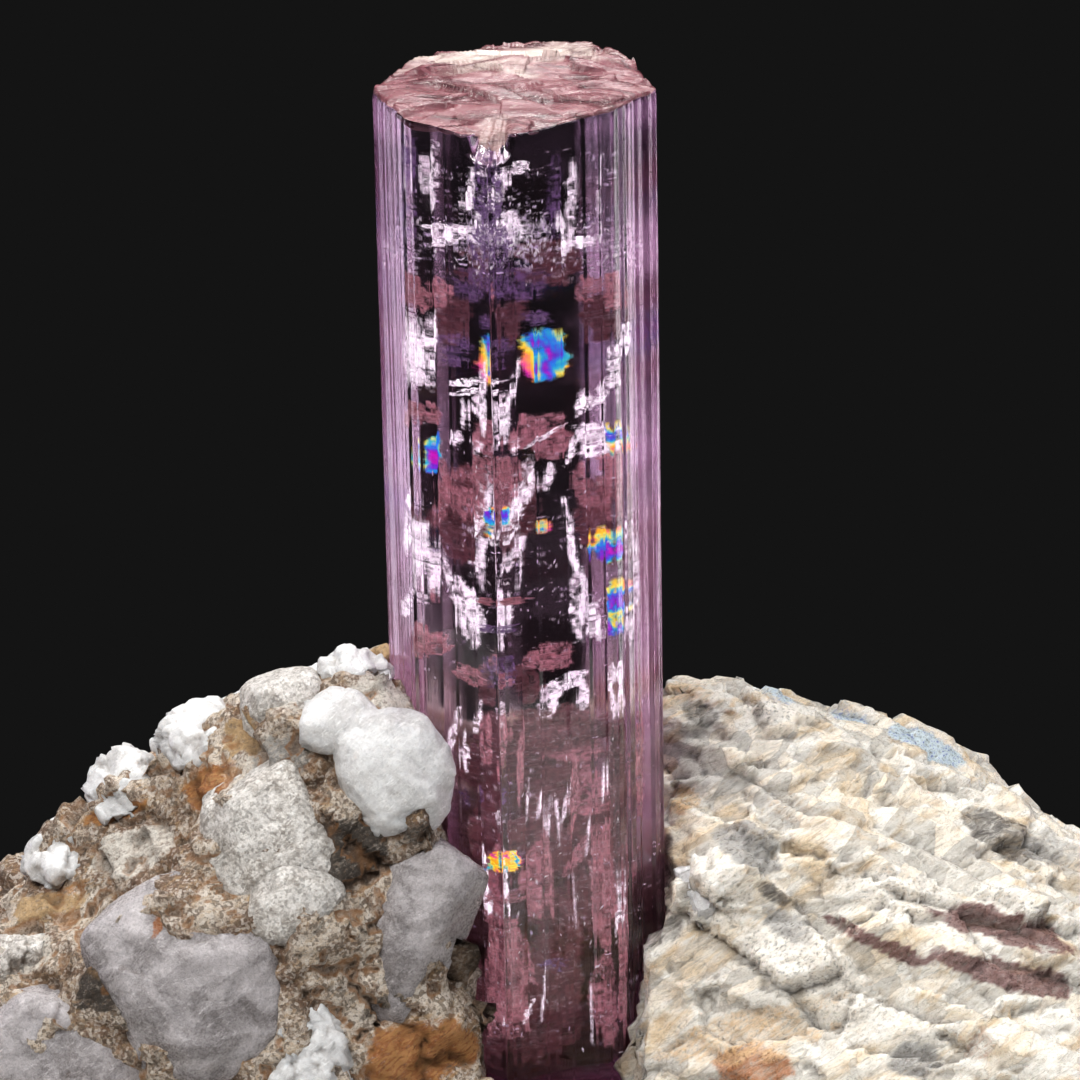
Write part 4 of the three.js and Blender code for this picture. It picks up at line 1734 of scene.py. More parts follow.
# Where the cracks lie, mostly from the crystal's top to its foot. Each row gives a crack's
# look, and then its column, row, width, height, depth, turn and bluntness.
VEIL_ROWS: tuple[tuple[str, float, float, float, float, float, float, float], ...] = (
    ("white", 431, 178, 20, 96, 2.0, 4, 2.0), ("white", 424, 176, 14, 60, 3.0, -6, 2.0),
    ("lilac", 403, 190, 10, 150, 1.6, 0, 3.0), ("lilac", 488, 200, 16, 110, 1.5, 0, 3.5),
    ("lilac", 489, 262, 22, 90, 2.2, 0, 3.5), ("white", 500, 190, 18, 60, 2.6, 12, 1.8),
    ("white", 516, 168, 34, 18, 2.2, -8, 2.0), ("white", 512, 228, 30, 44, 2.4, 0, 2.4),
    ("lilac", 552, 196, 20, 120, 3.0, 6, 1.8), ("white", 571, 206, 16, 122, 3.4, 4, 1.7),
    ("white", 560, 236, 12, 70, 2.0, -5, 1.7), ("white", 599, 196, 7, 120, 1.4, 1, 2.0),
    ("white", 584, 242, 30, 16, 2.4, 0, 2.4), ("white", 443, 232, 56, 26, 2.4, -5, 2.6),
    ("white", 440, 243, 44, 10, 1.6, -6, 2.0), ("lilac", 526, 284, 68, 48, 4.6, 0, 4.5),
    ("rose", 408, 288, 14, 42, 2.2, 4, 2.4), ("rose", 424, 300, 12, 34, 1.8, 0, 2.0),
    ("rose", 439, 292, 30, 40, 3.0, -28, 2.4), ("rose", 586, 288, 26, 34, 3.2, 8, 3.4),
    ("rose", 613, 292, 30, 48, 2.2, -16, 3.0), ("smoke", 600, 318, 50, 56, 4.0, 0, 3.0),
    ("smoke", 452, 322, 40, 60, 5.0, 0, 3.0), ("white", 409, 350, 16, 98, 2.0, 0, 2.6),
    ("white", 426, 350, 26, 102, 2.6, 3, 2.8), ("film", 546, 356, 47, 62, 3.2, 8, 2.6),
    ("lilac", 534, 318, 34, 22, 3.6, 0, 2.0), ("lilac", 454, 350, 44, 46, 3.4, 20, 2.6),
    ("white", 467, 382, 42, 12, 1.6, -4, 2.6), ("white", 466, 392, 40, 9, 1.6, -6, 2.6),
    ("white", 464, 414, 8, 44, 2.2, 0, 2.0), ("white", 483, 414, 9, 56, 1.8, 0, 2.0),
    ("white", 513, 386, 10, 78, 2.6, 12, 1.8), ("white", 621, 346, 15, 66, 1.7, 14, 1.8),
    ("white", 599, 392, 18, 60, 2.0, 38, 1.9), ("white", 582, 402, 14, 44, 2.4, 20, 2.0),
    ("white", 602, 404, 11, 48, 2.8, 4, 2.0), ("white", 590, 440, 46, 44, 3.0, -4, 3.2),
    ("white", 573, 446, 16, 50, 2.0, 20, 2.2), ("film", 623, 436, 11, 40, 3.0, -14, 2.0),
    ("rose", 534, 433, 34, 84, 3.6, 64, 2.0), ("rose", 552, 442, 40, 50, 4.0, 50, 2.4),
    ("white", 545, 436, 5, 66, 2.6, 58, 1.6), ("rose", 432, 414, 30, 24, 2.4, 40, 2.2),
    ("rose", 409, 414, 14, 34, 1.8, 20, 2.2), ("film", 432, 452, 18, 50, 2.0, 16, 2.0),
    ("white", 456, 438, 12, 22, 3.2, 20, 2.0), ("white", 476, 446, 13, 24, 3.4, -10, 2.0),
    ("rose", 440, 488, 22, 76, 2.4, 6, 1.9), ("rose", 462, 494, 34, 68, 3.0, -12, 2.0),
    ("rose", 478, 500, 18, 56, 2.0, -6, 1.8), ("smoke", 456, 520, 60, 50, 4.4, 0, 3.0),
    ("film", 506, 516, 8, 22, 1.2, 0, 2.2), ("white", 520, 494, 24, 100, 3.0, 19, 2.6),
    ("white", 510, 512, 10, 80, 2.4, 24, 1.8), ("white", 547, 476, 13, 40, 2.6, 10, 1.9),
    ("rose", 583, 486, 26, 60, 3.4, -20, 2.4), ("rose", 602, 500, 18, 58, 3.8, -16, 2.2),
    ("rose", 500, 470, 26, 40, 2.8, 22, 2.2), ("white", 568, 530, 13, 88, 2.2, -4, 2.0),
    ("white", 574, 556, 10, 60, 3.0, -8, 1.8), ("film", 606, 545, 30, 44, 3.0, -12, 1.9),
    ("film", 544, 526, 12, 18, 4.0, 0, 2.4), ("white", 408, 520, 11, 90, 1.8, 2, 2.0),
    ("white", 420, 548, 9, 76, 2.4, -4, 1.8), ("white", 432, 566, 13, 80, 3.0, 6, 2.0),
    ("white", 447, 570, 11, 72, 2.4, -16, 1.9), ("white", 463, 608, 24, 84, 2.6, -14, 2.2),
    ("white", 476, 622, 22, 72, 2.2, 4, 2.0), ("white", 482, 560, 10, 80, 3.4, -2, 1.9),
    ("white", 408, 602, 14, 36, 2.0, 8, 2.2), ("rose", 432, 594, 18, 7, 2.0, 84, 2.2),
    ("white", 512, 556, 16, 70, 3.0, 30, 1.8), ("rose", 514, 601, 42, 10, 2.2, -4, 2.2),
    ("white", 583, 606, 30, 92, 2.8, -3, 2.2), ("white", 595, 622, 16, 50, 2.0, -10, 2.0),
    ("film", 617, 606, 26, 66, 2.4, 14, 2.4), ("white", 634, 560, 9, 120, 1.4, -5, 1.8),
    ("white", 632, 620, 9, 70, 1.6, 6, 1.8), ("lilac", 498, 630, 24, 10, 2.0, 0, 2.2),
    ("rose", 437, 643, 44, 30, 2.4, -20, 2.6), ("rose", 416, 640, 16, 44, 1.8, -4, 2.6),
    ("rose", 467, 674, 46, 22, 2.0, 26, 2.2), ("lilac", 503, 672, 19, 44, 1.5, -22, 1.8),
    ("rose", 546, 657, 64, 36, 3.0, -8, 2.8), ("smoke", 524, 684, 34, 50, 3.4, -20, 2.4),
    ("white", 549, 700, 24, 50, 2.2, 12, 2.0), ("white", 570, 680, 40, 22, 2.6, -20, 2.0),
    ("white", 583, 694, 18, 44, 3.0, 0, 2.0), ("white", 611, 678, 14, 38, 2.0, 14, 2.0),
    ("white", 614, 704, 8, 40, 2.4, 0, 2.0), ("white", 455, 730, 13, 60, 1.8, 16, 1.8),
    ("white", 466, 752, 10, 56, 1.6, -4, 1.8), ("white", 478, 716, 12, 44, 1.6, 10, 1.8),
    ("rose", 486, 740, 18, 66, 1.2, 0, 6.0), ("lilac", 466, 796, 12, 34, 1.4, -14, 1.8),
    ("lilac", 480, 794, 9, 24, 1.4, -10, 1.8), ("smoke", 560, 760, 120, 90, 5.0, 0, 3.0),
    ("smoke", 600, 860, 84, 180, 4.2, 6, 3.0), ("rose", 612, 868, 46, 150, 2.6, 8, 1.8),
    ("rose", 590, 792, 52, 60, 3.4, -30, 1.8), ("white", 540, 806, 5, 50, 2.0, 10, 1.7),
    ("white", 548, 816, 4, 56, 2.4, 2, 1.7), ("white", 566, 800, 6, 66, 2.0, 12, 1.7),
    ("rose", 576, 856, 14, 70, 2.4, 32, 1.7), ("film", 511, 861, 26, 25, 1.4, -8, 2.6),
    ("white", 484, 872, 9, 70, 1.3, 0, 1.8), ("white", 488, 900, 12, 40, 1.5, -8, 2.0),
    ("rose", 512, 896, 10, 40, 1.8, 52, 1.7), ("lilac", 558, 965, 36, 18, 1.2, 0, 3.6),
    ("smoke", 556, 262, 84, 56, 5.0, 0, 3.0), ("smoke", 462, 512, 66, 120, 4.8, 8, 2.4),
    ("smoke", 604, 520, 62, 110, 5.0, -20, 2.2), ("rose", 610, 474, 30, 62, 3.4, -24, 1.9),
    ("rose", 440, 500, 20, 74, 2.6, 10, 1.8), ("rose", 478, 505, 18, 66, 2.8, -6, 1.8),
    ("white", 520, 508, 12, 104, 1.4, 20, 1.8), ("smoke", 560, 730, 130, 60, 3.0, 0, 3.4),
    ("smoke", 540, 830, 70, 130, 4.4, -6, 2.6), ("rose", 560, 742, 90, 50, 3.6, 10, 2.6),
    ("rose", 640, 760, 12, 160, 1.3, 0, 2.6), ("rose", 536, 880, 30, 110, 3.2, 6, 2.0),
    ("rose", 508, 980, 24, 150, 1.8, 4, 2.0), ("rose", 600, 890, 22, 170, 2.2, -5, 2.0),
    ("smoke", 566, 960, 70, 170, 3.4, 3, 2.4), ("smoke", 620, 800, 30, 190, 2.4, 0, 2.4),
    ("rose", 572, 800, 12, 110, 1.0, 3, 1.8), ("rose", 548, 870, 8, 130, 1.2, -4, 1.8),
    ("rose", 520, 760, 9, 120, 1.0, 2, 1.8), ("rose", 626, 960, 10, 150, 1.0, 2, 1.8),
    ("white", 528, 800, 4, 60, 1.6, 4, 1.7), ("white", 557, 820, 4, 70, 2.2, -6, 1.7),
    ("white", 588, 838, 4, 60, 1.8, 5, 1.7), ("white", 574, 900, 4, 80, 2.6, -4, 1.7),
    ("white", 603, 780, 4, 60, 2.0, 2, 1.7), ("white", 620, 900, 4, 90, 1.8, -3, 1.7),
    ("white", 545, 990, 4, 80, 1.8, 5, 1.7), ("white", 592, 1010, 4, 90, 2.0, -2, 1.7),
    ("rose", 520, 950, 26, 90, 1.8, -22, 1.8), ("rose", 506, 1000, 30, 100, 2.4, -8, 2.0),
    ("smoke", 540, 1010, 100, 130, 4.6, 0, 3.0), ("white", 528, 1012, 9, 40, 1.6, 24, 1.7),
    ("rose", 606, 1000, 36, 120, 2.6, -4, 2.0),
)
VEILS = tuple(Veil(VeilKind(kind), *sizes) for kind, *sizes in VEIL_ROWS)

SPECK_CLOUDS: tuple[SpeckCloud, ...] = (
    SpeckCloud(384, 214, 644, 276, 620, 0.42),
    SpeckCloud(392, 130, 616, 300, 420, 0.34),
    SpeckCloud(500, 200, 546, 268, 260, 0.5),
    SpeckCloud(400, 380, 640, 690, 420, 0.4),
    SpeckCloud(480, 700, 660, 1075, 420, 0.42),
)


@dataclass
class InnerVeils:
    """The healed cracks and flakes inside the crystal, one piece for each look."""

    veils: tuple[Veil, ...] = VEILS
    clouds: tuple[SpeckCloud, ...] = SPECK_CLOUDS
    pieces: list[bpy.types.Object] = field(default_factory=list, init=False)

    def build(self) -> None:
        """Makes the sheets of each look as one mesh, and the flakes as another."""
        for kind in VeilKind:
            parts = [
                veil.sheet(100 + number)
                for number, veil in enumerate(self.veils)
                if veil.kind is kind
            ]
            points, faces = joined(parts)
            piece = mesh_object(f"inner_veils_{kind.value}", points + SHIFT, faces)
            add_mask(piece.data, "edge", np.concatenate([part[2] for part in parts]))
            add_mask(piece.data, "film", np.concatenate([part[3] for part in parts]))
            welded(piece, 0.0004)
            piece.data.materials.append(VEIL_FINISHES[kind].material())
            self.pieces.append(piece)
        grains = [cloud.flakes(500 + number) for number, cloud in enumerate(self.clouds)]
        points, faces = joined(grains)
        piece = mesh_object("inner_bright_flakes", points + SHIFT, faces)
        welded(piece, 0.0002)
        piece.data.materials.append(FlakeFinish().material())
        self.pieces.append(piece)

    def dress(self) -> None:
        """Ties the pieces to the object's body."""
        for piece in self.pieces:
            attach(piece, "root")


@dataclass(frozen=True)
class FlakeFinish:
    """Tiny bright flakes, with a faint painted glow.

    Attributes:
        white: Colour of most of them.
        lilac: Colour of the others.
    """

    white: Colour = (0.96, 0.92, 0.96)
    lilac: Colour = (0.75, 0.6, 0.85)

    def material(self) -> bpy.types.Material:
        """The flakes' material."""
        recipe = Recipe("bright_flakes")
        tint = recipe.noise((1.5, 1.5, 1.5), 2.0, 0.5)
        colour = recipe.mix(recipe.rise(tint, 0.4, 0.65), self.white, self.lilac)
        # Their colour also goes out as a faint emission: a painted glow.
        return recipe.finish(
            Base_Color=colour, Roughness=0.25, Emission_Color=colour, Emission_Strength=0.3
        )


# The rock


SMALL_FACES = 0.42  # size of the small broken faces, as a share of the large ones
SLOW_SHIFT = 6.5  # size of the slow noise that bends a whole surface
RESTING = (0.15, 1.6)  # heights at which the plain flat base ends and full relief starts


@dataclass(frozen=True)
class Relief:
    """How a rock surface is broken.

    Attributes:
        voxel: Spacing of its vertices.
        wear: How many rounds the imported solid's own edges are worn down.
        swell: How far the whole surface stands out, which closes the seat's gap.
        stretch: Size of the pattern along each axis, as a share.
        turn: Degrees that the pattern is turned about the view's line, down to the right.
        face_size: Size of the flat broken faces.
        face_height: Their height.
        lump_size: Size of the rounded lumps.
        lump_height: Their height.
        grit_size: Size of the fine grain.
        grit_height: Its height.
        bend: How far slow noise shifts the whole surface.
        cuts: Number of flat faces cut onto a lump.
        cut_reach: Share of the lump's reach at which they are cut.
    """

    voxel: float = 0.3
    wear: int = 4
    swell: float = 0.1
    stretch: tuple[float, float, float] = (1.0, 1.0, 1.0)
    turn: float = 0.0
    face_size: float = 2.4
    face_height: float = 0.35
    lump_size: float = 3.0
    lump_height: float = 0.3
    grit_size: float = 0.7
    grit_height: float = 0.08
    bend: float = 0.0
    cuts: int = 0
    cut_reach: float = 0.86

    def cut_flat(self, points: np.ndarray, seed: int) -> np.ndarray:
        """Points with flat faces cut onto the lump that they form.

        Formula: a plane stands across each of a number of random directions, at a share
        of the lump's own reach that way, and points past it move back onto it.

        Args:
            points: The lump's points.
            seed: Of the directions.

        Returns:
            The points, moved where they were past a plane.
        """
        middle = points.mean(axis=0)
        ways = np.random.default_rng(seed).normal(size=(self.cuts, 3))
        ways[:, 1] -= 0.5
        for way in ways / np.linalg.norm(ways, axis=1, keepdims=True):
            reach = (points - middle) @ way
            points = points - np.maximum(reach - self.cut_reach * reach.max(), 0)[:, None] * way
        return points

    def bent(self, points: np.ndarray, seed: int) -> np.ndarray:
        """Points shifted by slow noise, a different one along each axis."""
        slow = points / SLOW_SHIFT
        shift = [layered_noise(slow, 2, seed + 160 + axis) for axis in range(3)]
        return points + self.bend * np.stack(shift, axis=1)

    def flow(self, points: np.ndarray, size: float) -> np.ndarray:
        """Points in the pattern's own turned and stretched space."""
        angle = math.radians(self.turn)
        turned = side_by_side(
            points[:, 0] * math.cos(angle) - points[:, 2] * math.sin(angle),
            points[:, 1],
            points[:, 0] * math.sin(angle) + points[:, 2] * math.cos(angle),
        )
        return turned / (np.array(self.stretch) * size)

    def heights(self, points: np.ndarray, seed: int) -> np.ndarray:
        """Height of the broken surface above the plain one.

        Formula: flat broken faces at two sizes, rounded lumps, and fine grain, summed.

        Args:
            points: The plain surface's points.
            seed: Of the noise.

        Returns:
            One height for each point.
        """
        large, large_edge = broken_faces(self.flow(points, self.face_size), seed)
        small, _ = broken_faces(self.flow(points, self.face_size * SMALL_FACES), seed + 40)
        lumps = layered_noise(self.flow(points, self.lump_size), 3, seed + 80)
        grit = layered_noise(self.flow(points, self.grit_size), 3, seed + 120)
        crease = 1 - smooth_step(large_edge, 0.0, 0.16)
        return (
            self.face_height * (large + 0.5 * small - 0.15 * crease)
            + self.lump_height * lumps
            + self.grit_height * grit
        )


@dataclass(frozen=True)
class Patch:
    """One stained part of the rock, placed by where the photograph shows it.

    Attributes:
        stain: What it is coloured by.
        across: Pixel column of its middle.
        down: Pixel row of its middle.
        width: Pixels across.
        height: Pixels from top to bottom.
        turn: Degrees that it slopes, down to the right.
        strength: From 0 to 1.
    """

    stain: Stain
    across: float
    down: float
    width: float
    height: float
    turn: float = 0.0
    strength: float = 1.0


def patches_of(rows: dict[Stain, tuple[tuple[float, ...], ...]]) -> tuple[Patch, ...]:
    """Patches from a table of their numbers for each stain."""
    return tuple(Patch(stain, *sizes) for stain, table in rows.items() for sizes in table)


@dataclass(frozen=True)
class Channel:
    """The open channel in front of the crystal, in its axis coordinates.

    Attributes:
        middle: Where its middle line lies across the view.
        half_width: Half the width of its floor.
        front: How far forward the floor starts to rise.
        floor: Height of the floor there.
        rise: How fast the floor rises towards the viewer.
        side: How steeply its sides rise.
        back: How far back it ends.
    """

    middle: float = 1.95
    half_width: float = 3.3
    front: float = -7.0
    floor: float = 5.6
    rise: float = 0.40
    side: float = 5.0
    back: float = -1.5

    def lowered(self, points: np.ndarray) -> np.ndarray:
        """Points above the channel's floor and sides, lowered onto them.

        Formula: the highest a point may lie is the floor's height, plus the rise for
        each millimetre forward, plus the side's slope for each millimetre past the
        floor's edge.

        Args:
            points: One row of three for each point, in axis coordinates.

        Returns:
            The points, lowered where they were too high.
        """
        forward = np.maximum(self.front - points[:, 1], 0)
        past = np.maximum(np.abs(points[:, 0] - self.middle) - self.half_width, 0)
        limit = self.floor + self.rise * forward + self.side * past
        before = points[:, 1] < self.back
        lowered = points.copy()
        lowered[:, 2] = np.where(before, np.minimum(points[:, 2], limit), points[:, 2])
        return lowered


@dataclass(frozen=True)
class Skyline:
    """How high the rock reaches at the photograph's viewing angle.

    Attributes:
        across: Pixel columns, from the left.
        down: Pixel row of the rock's edge at each.
    """

    across: tuple[float, ...]
    down: tuple[float, ...]

    def lowered(self, points: np.ndarray) -> np.ndarray:
        """Points above the skyline, lowered onto it.

        Formula: the line of sight through the skyline's pixel row has a height at each
        distance from the camera, and that height is the highest a point may lie.

        Args:
            points: One row of three for each point, in axis coordinates.

        Returns:
            The points, lowered where they were too high.
        """
        column = AXIS_COLUMN + PIXELS_PER_MM * points[:, 0]
        row = np.interp(column, self.across, self.down)
        angle = math.radians(VIEWPOINT.elevation)
        upward = (FRAME_PIXELS / 2 - row) / PIXELS_PER_MM - points[:, 1] * math.sin(angle)
        limit = VIEWPOINT.target[2] + upward / math.cos(angle)
        lowered = points.copy()
        lowered[:, 2] = np.minimum(points[:, 2], limit)
        return lowered


LEFT_SKYLINE = Skyline(
    (-260, 0, 60, 120, 180, 240, 300, 345, 372, 392, 420, 660, 760),
    (1010, 872, 828, 776, 727, 698, 683, 674, 660, 646, 660, 690, 760),
)
RIGHT_SKYLINE = Skyline(
    (655, 715, 780, 840, 900, 960, 1020, 1080, 1240, 1420),
    (680, 684, 696, 712, 730, 756, 786, 814, 880, 990),
)


CLEFT_VOXEL = 0.4  # spacing of a rock's vertices while its clefts are filled
CRYSTAL_GAP = 0.02  # how far off the crystal the rock stays
HOLLOW_ROUNDS = 14  # how far a surface is worn down to find its hollows


@dataclass
class RockPiece:
    """A packed rock solid with a finer broken surface and its stains.

    Attributes:
        node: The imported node.
        slot: The record's material slot.
        relief: How its surface is broken.
        seed: Of its noise.
        patches: Its stains.
        grown_round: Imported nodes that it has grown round.
        cleft: Half the width of the clefts that it fills between them.
        sunk: How far it stays under their surface.
        seam: Where it takes its neighbour's colour: a stain, where along the length the
            stain starts, and where it is whole.
        channel: The channel that is cut into it.
        skyline: The line that it stays under.
    """

    node: str
    slot: str
    relief: Relief
    seed: int
    patches: tuple[Patch, ...] = ()
    grown_round: tuple[str, ...] = ()
    cleft: float = 4.6
    sunk: float = 0.0
    seam: tuple[Stain, float, float] | None = None
    channel: Channel | None = None
    skyline: Skyline | None = None
    piece: bpy.types.Object | None = field(default=None, init=False)

    def build(self) -> None:
        """Breaks up the surface, keeps it clear of the crystal, and marks its stains."""
        self.piece = refined_copy(
            (self.node, *self.grown_round), f"{self.node}_surface", self.relief.voxel
        )
        if self.grown_round:
            close_clefts(self.piece, self.cleft, CLEFT_VOXEL)
            divide_evenly(self.piece, self.relief.voxel)
        mesh = self.piece.data
        plain = evened(mesh, coordinates(mesh), self.relief.wear)
        plain = self.relief.cut_flat(self.relief.bent(plain, self.seed), self.seed)
        if self.channel:
            plain = self.channel.lowered(plain - SHIFT) + SHIFT
        if self.skyline:
            plain = self.skyline.lowered(plain - SHIFT) + SHIFT
        set_coordinates(mesh, plain)
        plain -= vertex_normals(mesh) * self.sunk
        normals = vertex_normals(mesh)
        heights = self.relief.heights(plain, self.seed) + self.relief.swell
        resting = smooth_step(plain[:, 2], *RESTING)
        plain[:, 2] -= self.sunk * (1 - resting)
        points = plain + normals * (heights * resting)[:, None]
        points[:, 2] = np.maximum(points[:, 2], 0.0)
        points = PRISM.kept_out(points - SHIFT, CRYSTAL_GAP) + SHIFT
        set_coordinates(mesh, points)
        worn = evened(mesh, points, HOLLOW_ROUNDS)
        hollow = np.sum((worn - points) * normals, axis=1)
        add_mask(mesh, "hollow", smooth_step(hollow, 0.03, 0.28))
        self.mark(mesh, points)

    def mark(self, mesh: bpy.types.Mesh, points: np.ndarray) -> None:
        """Keeps one mask for each stain.

        Formula: each patch is an ellipsoid about the place that the camera sees at its
        pixel, with the border made ragged by noise.

        Args:
            mesh: The mesh to keep them on.
            points: Its vertices.
        """
        masks = {stain: np.zeros(len(points)) for stain in Stain}
        if self.patches:
            sight = Sight(self.piece)
            ragged = layered_noise(points / 0.9, 4, self.seed + 7)
        for patch in self.patches:
            middle = sight.point(patch.across, patch.down)
            if middle is None:
                log.info("no rock of %s at %s, %s", self.node, patch.across, patch.down)
                continue
            away = points - middle
            right = away[:, 0]
            upward = away @ VIEWPOINT.up
            behind = away @ VIEWPOINT.forward
            angle = math.radians(patch.turn)
            long_way = right * math.cos(angle) - upward * math.sin(angle)
            short_way = right * math.sin(angle) + upward * math.cos(angle)
            half_width = patch.width / 2 / PIXELS_PER_MM
            half_height = patch.height / 2 / PIXELS_PER_MM
            reach = np.sqrt(
                (long_way / half_width) ** 2
                + (short_way / half_height) ** 2
                + (behind / max(half_width, half_height, 1.5)) ** 2
            )
            inside = patch.strength * (1 - smooth_step(reach + 0.5 * ragged, 0.72, 1.08))
            masks[patch.stain] = np.maximum(masks[patch.stain], inside)
        if self.seam:
            stain, start, whole = self.seam
            along = points[:, 0] - SHIFT[0] + 3.0 * layered_noise(points / 2.4, 4, self.seed + 9)
            share = np.clip((along - start) / (whole - start), 0, 1)
            behind = smooth_step(points[:, 1] - SHIFT[1], 4.0, 7.0)
            masks[stain] = np.maximum(masks[stain], 0.85 * share * behind)
        for stain, values in masks.items():
            add_mask(mesh, stain.value, values)

    def dress(self, material: bpy.types.Material) -> None:
        """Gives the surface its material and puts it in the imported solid's place."""
        self.piece.data.materials.clear()
        self.piece.data.materials.append(material)
        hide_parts(self.node)
        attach(self.piece, "root")


LUMP_RELIEF = Relief(
    voxel=0.17, wear=1, swell=0.1, face_size=1.8, face_height=0.5, lump_size=1.3,
    lump_height=0.16, grit_size=0.5, grit_height=0.06, bend=0.8, cuts=9, cut_reach=0.84,
)
ROUNDED_RELIEF = Relief(
    voxel=0.17, wear=5, swell=0.2, face_size=3.4, face_height=0.16, lump_size=1.6,
    lump_height=0.14, grit_size=0.45, grit_height=0.03, bend=1.2, cuts=7, cut_reach=0.88,
)
BLOCK_RELIEF = Relief(
    voxel=0.19, wear=2, swell=0.6, face_size=3.6, face_height=0.16, lump_size=2.4,
    lump_height=0.06, grit_size=0.4, grit_height=0.025, bend=0.6, cuts=11, cut_reach=0.82,
)

LUMPS: tuple[RockPiece, ...] = (
    RockPiece("white_quartz_lump", "milky_quartz", ROUNDED_RELIEF, 301),
    RockPiece(
        "white_quartz_knob", "milky_quartz", replace(LUMP_RELIEF, cuts=14, cut_reach=0.7), 302
    ),
    RockPiece(
        "grey_quartz_knob", "frosted_quartz", replace(BLOCK_RELIEF, cuts=14, cut_reach=0.72), 303
    ),
    RockPiece("white_crest_chunk", "milky_quartz", LUMP_RELIEF, 304),
    RockPiece("white_crest_chip", "milky_quartz", LUMP_RELIEF, 305),
    RockPiece("white_shoulder_chip", "milky_quartz", LUMP_RELIEF, 306),
    RockPiece("pale_quartz_slab", "frosted_quartz", BLOCK_RELIEF, 307),
    RockPiece(
        "grey_quartz_block", "smoky_quartz", BLOCK_RELIEF, 308,
        (Patch(Stain.RUST, 160, 920, 18, 60, 20), Patch(Stain.TAN, 150, 880, 60, 40, 0, 0.6)),
    ),
    RockPiece("grey_quartz_wedge", "smoky_quartz", BLOCK_RELIEF, 309),
    RockPiece("white_quartz_chip", "milky_quartz", LUMP_RELIEF, 310),
    RockPiece("clear_quartz_corner", "smoky_quartz", BLOCK_RELIEF, 311),
    RockPiece("pale_ledge_block", "frosted_quartz", LUMP_RELIEF, 312),
    RockPiece("white_quartz_pebble", "milky_quartz", replace(ROUNDED_RELIEF, swell=-0.5), 313),
    RockPiece("back_quartz_lump", "milky_quartz", LUMP_RELIEF, 314, skyline=LEFT_SKYLINE),
    RockPiece("back_grey_block", "smoky_quartz", BLOCK_RELIEF, 315),
)

MILKY_MASS = RockPiece(
    "milky_quartz_mass",
    "streaked_quartz",
    Relief(
        voxel=0.3, wear=2, swell=0.05, stretch=(1.9, 1.0, 0.8), turn=24, face_size=3.1,
        face_height=0.8, lump_size=3.4, lump_height=0.5, grit_size=0.8, grit_height=0.1,
    ),
    401,
    seam=(Stain.TAN, 11.0, 3.0),
    channel=Channel(),
    skyline=RIGHT_SKYLINE,
    grown_round=("white_quartz_pebble",),
    cleft=2.4,
    sunk=0.2,
    patches=patches_of({
        Stain.DARK: (
            (700, 715, 56, 34, 10, 0.75), (735, 840, 40, 30, 30, 0.6),
            (668, 880, 20, 130, 0, 0.8), (664, 930, 60, 34, -30, 0.7),
            (776, 895, 46, 20, 34, 0.8), (1005, 835, 110, 60, 28, 0.8),
        ),
        Stain.TAN: (
            (684, 690, 50, 30, 0, 0.6), (684, 800, 36, 40, 0, 0.8),
            (815, 815, 120, 40, 20, 0.45), (900, 880, 90, 40, 30, 0.4),
            (770, 1015, 210, 24, -14, 0.6), (740, 1040, 200, 60, -10, 0.7),
        ),
        Stain.PALE: (
            (762, 712, 84, 30, 8), (720, 900, 70, 90, 40, 0.8), (800, 960, 150, 70, 24),
            (910, 900, 190, 60, 20, 0.8), (1010, 900, 120, 30, 16, 0.9),
            (870, 1020, 190, 60, 12, 0.7),
        ),
        Stain.GREY: (
            (790, 755, 190, 34, 14, 0.5), (760, 800, 170, 40, 22, 0.6),
            (745, 845, 84, 60, 30, 0.9), (790, 925, 70, 34, 30, 0.8),
            (1050, 850, 90, 60, 20, 0.7), (915, 1060, 60, 50, 0, 0.9),
            (690, 970, 110, 80, -20, 0.5),
        ),
        Stain.RUST: (
            (682, 806, 20, 24, 0, 0.7), (745, 1070, 110, 60, 0, 0.9),
            (978, 1044, 46, 36, 0, 0.5),
        ),
        Stain.WINE: (
            (860, 935, 120, 18, 27, 0.9), (905, 955, 70, 22, 24, 1.0),
            (1000, 925, 170, 40, 14, 1.0), (1010, 975, 190, 34, 14, 1.0),
        ),
        Stain.BLUE: (
            (780, 692, 60, 26, 10, 0.9), (850, 718, 50, 26, 20, 0.9),
            (925, 745, 110, 34, 24, 1.0), (1076, 797, 40, 16, 14, 0.9),
        ),
    }),
)

